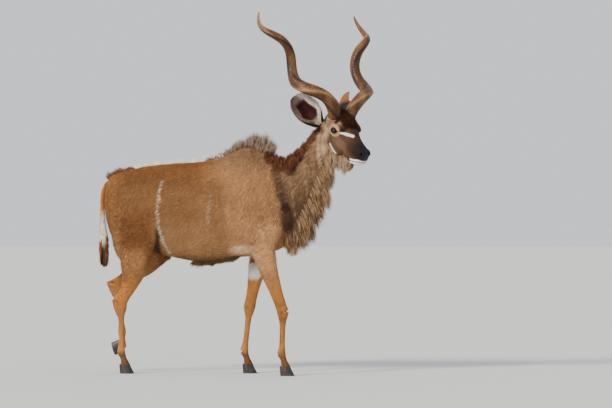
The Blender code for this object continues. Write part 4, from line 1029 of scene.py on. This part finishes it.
def hair_band(name, line, spread, middle, lean, count, width, rings, bow, seed, root_tone, tip_tone,
              own=0.0, splay=0.35, near=0.030, facing=0, clumps=70, hold=0.7):
    """Strands rooted along a hair line on the skin, as long as the line's tips, drawn together in clumps.

    A root's strand is tip minus root of the nearest place on the line, spread by splay times its
    distance from the middle, then drawn by a share of hold towards the tip of the nearest leader.
    """
    rng = np.random.default_rng(seed)
    rows = smooth_rows(line, 60)
    stations = np.stack([rows[:, 0], middle - lean * (rows[:, 0] - line[-1][0]), rows[:, 1]], axis=1) + shift
    gaps = np.linalg.norm(face_middles[:, None, (0, 2)] - stations[None, ::4, (0, 2)], axis=2)
    close = np.argmin(gaps, axis=1) * 4
    gap = gaps.min(axis=1)
    aside = face_middles[:, 1] - stations[close, 1]
    weight = (1 - soft(gap, 0.55 * near, near)) * (1 - soft(np.abs(aside), 0.6 * spread, spread))
    weight = weight * (soft(facing * face_normals[:, 2], 0.05, 0.45) if facing else 1.0)
    roots, normals, patch = rooted(weight * bare(face_middles), count, seed)
    place = np.argmin(np.linalg.norm(roots[:, None, (0, 2)] - stations[None, :, (0, 2)], axis=2), axis=1)
    reach = np.stack([rows[place, 2] - rows[place, 0], -lean * (rows[place, 2] - rows[place, 0]),
                      rows[place, 3] - rows[place, 1]], axis=1)
    reach[:, 1] += splay * (roots[:, 1] - stations[place, 1]) * rng.uniform(-0.3, 1.0, count)
    reach *= rng.uniform(0.55, 1.05, (count, 1)) * (0.75 + 0.25 * np.cos(
        math.pi * (roots[:, 1] - stations[place, 1]) / spread))[:, None]
    leaders = rng.choice(count, clumps, replace=False)
    follow = np.argmin(np.linalg.norm(roots[:, None] - roots[None, leaders], axis=2), axis=1)
    pull = hold * rng.uniform(0.4, 1.0, (count, 1))
    reach = reach + pull * ((roots + reach)[leaders][follow] - roots - reach)
    reach *= rng.uniform(0.76, 1.08, (clumps, 1))[follow]
    clump = np.stack([waves(roots * (1, 3, 1), 22.0, seed + way) for way in (1, 2, 3)], axis=1)
    long = np.linalg.norm(reach, axis=1)
    lie = unit(reach + 0.10 * long[:, None] * clump + 0.08 * long[:, None] * rng.normal(size=(count, 3)))
    droop = np.cross(reach, (0.0, 1.0, 0.0)) * bow * rng.uniform(0.3, 1.6, (count, 1))
    lie = unit(lie + droop / long[:, None])
    shade = rng.uniform(0.75, 1.2, (count, 1)) * (1 + 0.25 * clump[:, :1])
    ground = markings(roots)
    root_colour = (own * ground + (1 - own) * np.array(root_tone(roots, rng))) * shade
    tip_colour = (own * ground + (1 - own) * np.array(tip_tone(roots, rng))) * shade
    strands = tufts(name, roots - STRAND_SINK * lie, lie, unit(np.cross(lie, np.cross(normals, lie)) + 1e-4),
                    long, width * rng.uniform(0.7, 1.3, count), 0.45 * width * rng.uniform(0.7, 1.3, count),
                    rings, -droop, root_colour, tip_colour, patch)
    strands.data.materials.append(long_hair)
    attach(strands, "root")


def mingled(first, second, share):
    """One of two tones for each strand, the second for a share of them."""
    return lambda roots, rng: np.where(rng.random((len(roots), 1)) < share, tone(*second), tone(*first))


def dorsal_tone(roots, rng):
    """White along the back, brown and black over the rump."""
    mixed = np.where(rng.random((len(roots), 1)) < 0.5, tone(60, 38, 26), tone(150, 98, 58))
    return np.where((roots[:, :1] - shift[0]) < -0.66, mixed, tone(242, 230, 214))


hair_band("crest", CREST, 0.034, 0.0, 0.0, 3800, 0.0028, 4, -0.16, 31,
          mingled((70, 50, 40), (132, 104, 80), 0.45), mingled((196, 174, 152), (96, 74, 62), 0.35),
          splay=1.3, facing=1, clumps=90, hold=0.35)
hair_band("dorsal_line", DORSAL, 0.030, 0.0, 0.0, 2600, 0.0026, 3, -0.10, 30, dorsal_tone,
          dorsal_tone, splay=0.6, facing=1, clumps=120, hold=0.4)
hair_band("nape_mane", NAPE, 0.105, -0.020, 0.0, 5200, 0.0036, 4, 0.25, 32,
          mingled((84, 42, 18), (24, 16, 12), 0.50), mingled((136, 76, 36), (34, 22, 16), 0.45),
          near=0.075, clumps=90, hold=0.55)
hair_band("throat_fringe", FRINGE, 0.075, -0.020, 0.0, 5600, 0.0046, 5, 0.25, 33,
          mingled((150, 118, 88), (92, 60, 38), 0.30), mingled((206, 166, 120), (70, 42, 26), 0.36),
          own=0.25, near=0.060, clumps=64, hold=0.8)
hair_band("chin_beard", BEARD, 0.034, -0.090, 0.70, 1500, 0.0026, 4, 0.10, 34,
          mingled((170, 136, 102), (60, 38, 26), 0.35), mingled((226, 196, 158), (84, 56, 38), 0.30),
          near=0.036, facing=-1, clumps=14, hold=0.7)
hair_band("belly_line", BELLY, 0.060, 0.0, 0.0, 2800, 0.0032, 4, 0.10, 35,
          mingled((128, 92, 60), (84, 58, 38), 0.4), mingled((84, 58, 38), (150, 112, 74), 0.35),
          near=0.036, facing=-1, clumps=50, hold=0.5)

rng = np.random.default_rng(36)
tail_roots, tail_normals, tail_patch = rooted(middle_regions["tail_coat"], TAIL_HAIRS, 36)
tail_place = tail_roots - shift
tail_low = 1 - soft(tail_place[:, 2], 0.76, 1.06)
tail_length = (0.030 + 0.075 * tail_low) * rng.uniform(0.7, 1.15, TAIL_HAIRS)
tail_length = np.minimum(tail_length, np.maximum(tail_place[:, 2] - TAIL_TIP, 0.02) * 1.05)
tail_lie = unit(np.array((0.03, 0, -1.0)) + 0.50 * tail_normals + 0.06 * rng.normal(size=(TAIL_HAIRS, 3)))
tail_colour = markings(tail_roots) * rng.uniform(0.8, 1.15, (TAIL_HAIRS, 1))
rusty = ((tail_place[:, 0] < -0.884) & (tail_place[:, 2] < 0.90))[:, None]
tail_colour = np.where(rusty, tone(150, 90, 52) * rng.uniform(0.7, 1.2, (TAIL_HAIRS, 1)), tail_colour)
tail_hair = tufts("tail_hair", tail_roots, tail_lie, tail_normals, tail_length,
                  np.full(TAIL_HAIRS, 0.0042), np.full(TAIL_HAIRS, 0.0018), 4,
                  -0.25 * tail_length[:, None] * tail_normals, 0.85 * tail_colour, 1.05 * tail_colour,
                  tail_patch)
tail_hair.data.materials.append(long_hair)
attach(tail_hair, "root")

middle_forward, middle_left, middle_up = in_head(face_middles).T
brow_weight = (soft(middle_up - 0.25 * np.abs(middle_left), 0.006, 0.022)
               * (1 - soft(middle_forward, -0.010, 0.045)) * soft(middle_forward, -0.150, -0.120)
               * (1 - soft(np.abs(middle_left), 0.045, 0.065))
               * soft(head_side(face_middles), 0.0, 0.02))
brow_roots, brow_normals, brow_patch = rooted(brow_weight, FOREHEAD_HAIRS, 37)
brow_lie = unit(np.array((0.55, 0.0, 0.40)) @ head_axes.T + 0.35 * brow_normals
                + 0.22 * np.random.default_rng(38).normal(size=(FOREHEAD_HAIRS, 3)))
brow_length = FOREHEAD_LENGTH * np.random.default_rng(39).uniform(0.6, 1.3, FOREHEAD_HAIRS)
brow_pick = np.random.default_rng(40).random((FOREHEAD_HAIRS, 1))
brow_dark = np.where(brow_pick < 0.75, tone(54, 28, 14), tone(26, 15, 10))
brow_colour = np.where(brow_pick < 0.3, tone(104, 56, 24), brow_dark)
brow_hair = tufts("forehead_hair", brow_roots, brow_lie, brow_normals, brow_length,
                  np.full(FOREHEAD_HAIRS, 0.0026), np.full(FOREHEAD_HAIRS, 0.0012), 2,
                  -0.3 * brow_length[:, None] * brow_normals, 0.8 * brow_colour, 1.3 * brow_colour,
                  brow_patch)
brow_hair.data.materials.append(long_hair)
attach(brow_hair, "root")

# Horns
# Two long spirals of horn over a bone core, keeled on the outer side and ridged across at the
# base. Dark brown in the grooves, rubbed pale along the keel and towards the tips, with painted
# shade along both flanks.
HORN_ROOT = (-0.080, 0.058, 0.040)
HORN_BASE = (-0.087, 0.096, 0.057)
HORN_TIP = (-0.727, 0.465, 0.417)
HORN_ROOT_SHARE = 0.2
HORN_TURNS = -1.423
HORN_PHASE = 1.630
HORN_PACE = 0.808
HORN_COIL = (0.030, -0.139, 0.118)
HORN_FLATTEN = 0.80
HORN_BOW = (0.002, -0.009, 0.007)
HORN_RADIUS = 0.042
HORN_RIDGES = 52
HORN_GRID = (520, 40)


def horn_line(count):
    """Centre line of the left horn in the head's frame: a widening turn round a tilted, bowed axis."""
    base, tip = np.array(HORN_BASE), np.array(HORN_TIP)
    axis = unit(tip - base)
    upright = unit(np.cross((0.0, 1.0, 0.0), axis))
    aside = np.cross(upright, axis)
    t = np.linspace(0, 1, count)[:, None]
    swell = np.sin(math.pi * t)
    turn = HORN_PHASE + 2 * math.pi * HORN_TURNS * t ** HORN_PACE
    radius = HORN_COIL[0] + (HORN_COIL[1] - HORN_COIL[0]) * t + HORN_COIL[2] * swell
    out = np.cos(turn) * upright + HORN_FLATTEN * np.sin(turn) * aside
    line = base + (tip - base) * t + radius * out + swell * np.array(HORN_BOW)
    return line + (np.array(HORN_ROOT) - line[0]) * np.clip(1 - t / HORN_ROOT_SHARE, 0, 1) ** 2, out


horn_material, horn_shader, horn_place = new_material("horn", 0.50, specular=0.25, coat=0.05,
                                                      coat_roughness=0.40)
horn_colour = horn_place.node("ShaderNodeAttribute", {"attribute_name": "Coat"})
streak = horn_place.noise(75.0, 5.0, 0.6)
feed(horn_shader, "Base Color",
     horn_colour.mixed((0.012, 0.007, 0.004, 1.0), streak.span(0.48, 0.72, 0.0, 0.6)))
feed(horn_shader, "Roughness", streak.span(0.3, 0.7, 0.36, 0.58))
bumped(horn_shader, streak + 0.4 * horn_place.noise(420.0, 3.0), 0.5, 0.0022)

for side, sign in (("right", -1), ("left", 1)):
    steps, around = HORN_GRID
    line, out = horn_line(steps)
    line, out = line * (1, sign, 1), out * (1, sign, 1)
    along = unit(np.gradient(line, axis=0))
    out = unit(out - np.sum(out * along, axis=1)[:, None] * along)
    reach = np.linalg.norm(np.diff(line, axis=0), axis=1).cumsum()
    share = np.concatenate([[0], reach / reach[-1]])
    radius = HORN_RADIUS * (1 - 0.36 * share - 0.58 * share ** 4) * (1 + 0.05 * (1 - soft(share, 0.0, 0.03)))
    rings = eggs(line, np.cross(along, out), out, radius, 1.12 * radius, 0.95 * radius, 1.7, 2.0, around)
    angle = np.linspace(0, 2 * math.pi, around, endpoint=False)
    keel = np.exp(-(np.minimum(angle, 2 * math.pi - angle) / 0.34) ** 2)[None, :]
    rough = 1 - soft(share, 0.45, 0.85)
    ridge = np.sin(2 * math.pi * HORN_RIDGES * share[:, None] ** 0.9 + 0.9 * np.cos(angle)[None, :]
                   + 0.5 * np.sin(3 * angle)[None, :])
    patchy = waves(rings.reshape(-1, 3), 9.0, 52).reshape(steps, around)
    lift = radius[:, None] * (0.016 * rough[:, None] * ridge * soft(patchy, -0.9, 0.7) * (1 - 0.5 * keel)
                              + 0.10 * keel + 0.02 * patchy * rough[:, None])
    rings = rings + lift[..., None] * unit(rings - line[:, None])
    points, faces = swept(rings)
    horn = new_piece("horn_" + side + "_sheath", on_head(points), faces)
    shaded_smooth(horn)
    cloud = waves(rings.reshape(-1, 3), 6.0, 51)
    worn = (0.65 * keel * soft(share[:, None], 0.02, 0.10) + 0.12 * soft(ridge, -0.2, 1.0) * rough[:, None]
            + 0.35 * soft(share[:, None], 0.60, 0.95)).ravel() + 0.30 * cloud
    colour = blend(np.tile(tone(78, 49, 25), (len(cloud), 1)), tone(164, 122, 78), worn)
    # Painted shade darkening both flanks of each horn, over the horn's own dark brown.
    painted_flank_shade = np.tile(np.exp(-((np.abs(angle - math.pi) - 1.15) / 0.35) ** 2), steps)
    colour = blend(colour, tone(34, 20, 11), 0.85 * painted_flank_shade)
    colour = blend(colour, tone(232, 216, 190), np.repeat(soft(share, 0.965, 0.99), around))
    write_colour(horn, np.vstack([colour, colour[:1], colour[-1:]]))
    horn.data.materials.append(horn_material)
    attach(horn, "root")
    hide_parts("horn_" + side)

# Ears
# Wide cupped ears, bare and dark red inside, the hollow painted nearly black as painted shade, rust
# outside and black at the root. Each is a leaf rolled round its own length, with a fringe of hair
# along both edges, palest towards the head.
EAR_ROOT = np.array((-0.152, 0.104, -0.055))
EAR_AIMS = {"right": ((-0.70, -0.60, 0.40), (0.66, -0.55, 0.50)),
            "left": ((-0.80, 0.45, 0.49), (0.55, 0.75, 0.30))}
EAR_LENGTH = 0.250
EAR_HALF_WIDTH = 0.080
EAR_WALL = 0.0042
EAR_GRID = (90, 70)
EAR_SINK = 0.02
EAR_ROLL_BASE = 165
EAR_ROLL_TIP = 70
EAR_UNROLLED = 0.62
EAR_HOLLOW = 0.4
EAR_HAIRS = 2000
ear_material, ear_shader, ear_place = new_material("ear_skin", 0.68, specular=0.25)
ear_colour = ear_place.node("ShaderNodeAttribute", {"attribute_name": "Coat"})
ear_veins = ear_place.noise(55.0, 5.0, 0.65)
feed(ear_shader, "Base Color",
     ear_colour.mixed((0.01, 0.004, 0.003, 1.0), ear_veins.span(0.45, 0.75, 0.0, 0.35)))
bumped(ear_shader, ear_veins, 0.5, 0.003)

for side, sign in (("right", -1), ("left", 1)):
    direction, facing = EAR_AIMS[side]
    along = unit(np.array(direction))
    front = unit(np.array(facing) - np.dot(facing, along) * along)
    across = np.cross(along, front)
    rows, columns = EAR_GRID
    root = EAR_ROOT * (1, sign, 1)
    t, u = np.meshgrid(np.linspace(0.03, 0.998, rows), np.linspace(-1, 1, columns), indexing="ij")
    half = EAR_HALF_WIDTH * (0.34 + 0.66 * np.sin(math.pi / 2 * np.minimum(t / 0.5, 1)))
    half = half * np.sqrt(np.maximum(1 - t ** 5, 0.004))
    roll = np.radians(EAR_ROLL_BASE + (EAR_ROLL_TIP - EAR_ROLL_BASE) * np.minimum(t / EAR_UNROLLED, 1))
    bend = half / np.sin(np.minimum(roll, math.pi / 2))
    flare = 0.004 * soft(np.abs(u), 0.75, 1.0) * soft(t, 0.3, 0.6)
    fold = 0.0025 * np.sin(9 * u + 1.5) * soft(t, 0.15, 0.4) * (1 - soft(t, 0.6, 0.9))
    angle = u * roll
    leaf = (root + along * (t * EAR_LENGTH - EAR_SINK)[..., None]
            + across * ((bend + flare) * np.sin(angle))[..., None]
            - front * (bend * (np.cos(angle) - EAR_HOLLOW) + fold)[..., None])
    grid = np.arange(rows * columns).reshape(rows, columns)
    cells = np.stack([grid[:-1, :-1], grid[:-1, 1:], grid[1:, 1:], grid[1:, :-1]], axis=-1).reshape(-1, 4)
    ear = new_piece("ear_" + side + "_leaf", on_head(leaf.reshape(-1, 3)), cells)
    wall = ear.modifiers.new("wall", "SOLIDIFY")
    wall.thickness = EAR_WALL
    wall.offset = 0.0
    applied(ear)
    shaded_smooth(ear)
    leaf_points = points_of(ear.data)
    flat_t, flat_u = np.resize(t.ravel(), len(leaf_points)), np.resize(u.ravel(), len(leaf_points))
    hollow = on_head(root + along * (flat_t * EAR_LENGTH)[:, None] + front * 0.02)
    looks_in = np.sum(normals_of(ear.data) * (hollow - leaf_points), axis=1) > 0
    toward = np.array((0.48, 0.36, -0.80 * sign))
    facing_in = np.sign((leaf[rows // 2, -1] - leaf[rows // 2, 0]) @ toward)
    inner = facing_in * flat_u
    rim = np.maximum(soft(np.abs(flat_u), 0.34, 0.54), soft(flat_t, 0.72, 0.86))
    rim = np.maximum(rim, 1 - soft(flat_t, 0.12, 0.24))
    # Inside: dark red skin, painted nearly black over the hollow as painted shade, then the pale rim.
    inside = blend(np.tile(tone(50, 8, 4), (len(leaf_points), 1)), tone(96, 26, 14),
                   soft(waves(leaf_points, 9.0, 61), 0.2, 1.0))
    inside = blend(inside, tone(146, 126, 110), rim)
    inside = blend(inside, tone(226, 214, 198), rim * soft(inner, 0.10, 0.50))
    inside = blend(inside, tone(66, 46, 36), soft(-inner, 0.90, 0.99))
    outside = blend(np.tile(tone(138, 82, 42), (len(leaf_points), 1)), tone(58, 40, 30),
                    soft(flat_t, 0.90, 0.99))
    outside = blend(outside, tone(30, 20, 15), 1 - soft(flat_t, 0.48, 0.66))
    write_colour(ear, np.where(looks_in[:, None], inside, outside))
    ear.data.materials.append(ear_material)
    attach(ear, "root")
    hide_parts("ear_" + side)

    rng = np.random.default_rng(62)
    count = EAR_HAIRS
    row = rng.uniform(0.10, 0.97, count)
    edge = np.sign(rng.random(count) - 0.5) * rng.uniform(0.74, 0.99, count)
    cell_row, cell_column = (row * (rows - 1)).astype(int), ((edge + 1) / 2 * (columns - 1)).astype(int)
    hair_roots = on_head(leaf[cell_row, cell_column])
    hair_lie = unit((0.55 * along - 0.75 * np.sign(edge)[:, None] * across + 0.35 * front) @ head_axes.T
                    + 0.25 * rng.normal(size=(count, 3)))
    hair_length = rng.uniform(0.014, 0.034, count) * (1.15 - 0.6 * row)
    hair_front = np.tile(head_axes @ front, (count, 1))
    pale = edge[:, None] * facing_in > 0
    root_colour = np.where(pale, tone(196, 182, 166), tone(104, 84, 70)) * rng.uniform(0.7, 1.1, (count, 1))
    tip_colour = np.where(pale, tone(236, 226, 212), tone(138, 118, 102)) * rng.uniform(0.8, 1.05, (count, 1))
    ear_hair = tufts("ear_" + side + "_hair", hair_roots, hair_lie, hair_front, hair_length,
                     np.full(count, 0.0026), np.full(count, 0.0010), 2,
                     -0.2 * hair_length[:, None] * hair_front, root_colour, tip_colour,
                     np.stack([row, (edge + 1) / 2], axis=1))
    ear_hair.data.materials.append(long_hair)
    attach(ear_hair, "root")

# Eyes
# Dark glossy balls, nearly black with a deep brown iris and an oval pupil that lies level, each
# between two bare dark lids that follow the almond of the opening.
eye_material, eye_shader, eye_place = new_material("eye", 0.10, specular=0.25, coat=0.35, coat_roughness=0.02)
eye_colour = eye_place.node("ShaderNodeAttribute", {"attribute_name": "Coat"})
eye_fibres = eye_place.noise(900.0, 3.0)
feed(eye_shader, "Base Color",
     eye_colour.mixed((0.03, 0.012, 0.004, 1.0), eye_fibres.span(0.4, 0.7, 0.0, 0.6)))
LID_GRID = (72, 12)
lid_material, lid_shader, lid_place = new_material("eyelid", 0.60, specular=0.12)
lid_wrinkle = lid_place.noise(600.0, 3.0)
feed(lid_shader, "Base Color", lid_wrinkle.node("ShaderNodeValToRGB", {"stops": (
    (0.35, (0.006, 0.004, 0.004, 1.0)), (0.70, (0.030, 0.020, 0.016, 1.0)))}, {0: lid_wrinkle}))
bumped(lid_shader, lid_wrinkle, 0.6, 0.0006)

for side, sign in (("right", -1), ("left", 1)):
    turn = gaze_turn(sign)
    points, faces = ball((0.0, 0.0, 0.0), (EYE_RADIUS,) * 3, rows=60, columns=72)
    polar = np.degrees(np.arctan2(np.hypot(points[:, 0], points[:, 1]), points[:, 2]))
    points = points * (1 + 0.045 * (1 - soft(polar, 15, 42)))[:, None]
    pupil = 1 - soft(np.hypot(points[:, 0] / 0.0085, points[:, 1] / 0.0050), 0.85, 1.05)
    iris = 1 - soft(polar, 36, 42)
    colour = blend(np.tile(tone(30, 18, 14), (len(points), 1)), tone(44, 22, 10), iris * (points[:, 2] > 0))
    colour = blend(colour, tone(4, 3, 3), pupil * (points[:, 2] > 0))
    centre = np.array((0.0, sign * EYE_SPREAD, -EYE_DROP))
    eye = new_piece("eye_" + side + "_ball", on_head(points @ turn.T + centre), faces)
    shaded_smooth(eye)
    write_colour(eye, colour)
    eye.data.materials.append(eye_material)
    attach(eye, "root")
    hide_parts("eye_" + side)

    rows, columns = LID_GRID
    angle = np.linspace(0, 2 * math.pi, rows, endpoint=False)
    flat = np.stack([0.98 * EYE_OPENING[0] * np.cos(angle),
                     EYE_OPENING[1] * bulged(np.sin(angle), 1.25)], axis=1)
    rise = np.sqrt(np.maximum((EYE_RADIUS + 0.0012) ** 2 - (flat ** 2).sum(axis=1) * 0.80, 1e-6))
    edge = np.column_stack([flat, rise])
    tangent = unit(np.roll(edge, -1, axis=0) - np.roll(edge, 1, axis=0))
    outward = unit(edge - np.sum(edge * tangent, axis=1)[:, None] * tangent)
    ring = eggs(edge, np.cross(tangent, outward), outward, 0.0036, 0.0022, 0.0022, 2.0, 2.0, columns)
    grid = np.arange(rows * columns).reshape(rows, columns)
    after = np.roll(grid, -1, axis=0)
    walls = np.stack([grid, np.roll(grid, -1, axis=1), np.roll(after, -1, axis=1), after], axis=-1)
    lids = new_piece("eyelids_" + side, on_head(ring.reshape(-1, 3) @ turn.T + centre), walls.reshape(-1, 4))
    shaded_smooth(lids)
    lids.data.materials.append(lid_material)
    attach(lids, "root")

# Hooves
# Two claws of dark horn on each foot, long and pointed, with faint growth rings under a soft
# coronet. They stand on flat soles, but for the far hind foot, which is lifted and bent back.
HOOF_HEIGHT = 0.062
CLAW_LENGTH = 0.088
CLAW_WIDTH = 0.033
LIFTED_PITCH = math.radians(72)
CLAW_GAP = 0.002
CLAW_SIDES = 48
hoof_material, hoof_shader, hoof_place = new_material("hoof", 0.45, specular=0.4, coat=0.1,
                                                      coat_roughness=0.4)
hoof_streak = hoof_place.stretched((90, 90, 30)).noise(1.0, 4.0)
feed(hoof_shader, "Base Color", hoof_streak.node("ShaderNodeValToRGB", {"stops": (
    (0.30, (0.010, 0.007, 0.006, 1.0)), (0.62, (0.035, 0.025, 0.018, 1.0)),
    (0.85, (0.10, 0.075, 0.055, 1.0)))}, {0: hoof_streak}))
feed(hoof_shader, "Roughness", hoof_streak.span(0.3, 0.7, 0.38, 0.6))
bumped(hoof_shader, hoof_streak, 0.5, 0.0015)

for limb, joints in (("fore", FORE_LEGS), ("hind", HIND_LEGS)):
    for side, sign in (("right", -1), ("left", 1)):
        pitch = LIFTED_PITCH if (limb, side) == ("hind", "left") else 0.0
        foot = (Matrix.Translation(np.array(joints[side][4]) + shift) @ Matrix.Rotation(pitch, 4, "Y")
                @ Matrix.Translation((0, 0, -HOOF_HEIGHT)))
        for rank, inward in (("inner", -1), ("outer", 1)):
            outer = inward * sign
            share = np.concatenate([[0.0, 0.02], np.linspace(0.05, 0.97, 22), [1.0]])[:, None]
            angle = np.linspace(0, 2 * math.pi, CLAW_SIDES, endpoint=False)[None, :]
            tuck = 1 - 0.05 * np.exp(-share / 0.02) - 0.015 * soft(share, 0.97, 1.0)
            tuck = tuck + 0.010 * np.sin(42 * share)
            half = CLAW_LENGTH * (0.33 + 0.17 * share) * tuck
            width = CLAW_WIDTH * (0.44 + 0.06 * share) * tuck
            across = width * bulged(np.sin(angle), 0.8)
            across = across * (1 - 0.35 * np.clip(np.cos(angle), 0, 1) ** 2)
            across = np.where(outer * across < 0, 0.8 * across, across)
            rings = np.stack([half * np.cos(angle) - 0.006 + 0.020 * share,
                              across + outer * (CLAW_WIDTH * 0.42 + CLAW_GAP),
                              HOOF_HEIGHT * (1 - share) + 0 * angle], axis=-1)
            points, faces = swept(rings)
            place = np.array(foot)
            node = "hoof_" + limb + "_" + side + "_" + rank
            claw = new_piece(node + "_claw", points @ place[:3, :3].T + place[:3, 3], faces)
            shaded_smooth(claw)
            claw.data.materials.append(hoof_material)
            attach(claw, "root")
            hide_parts(node)
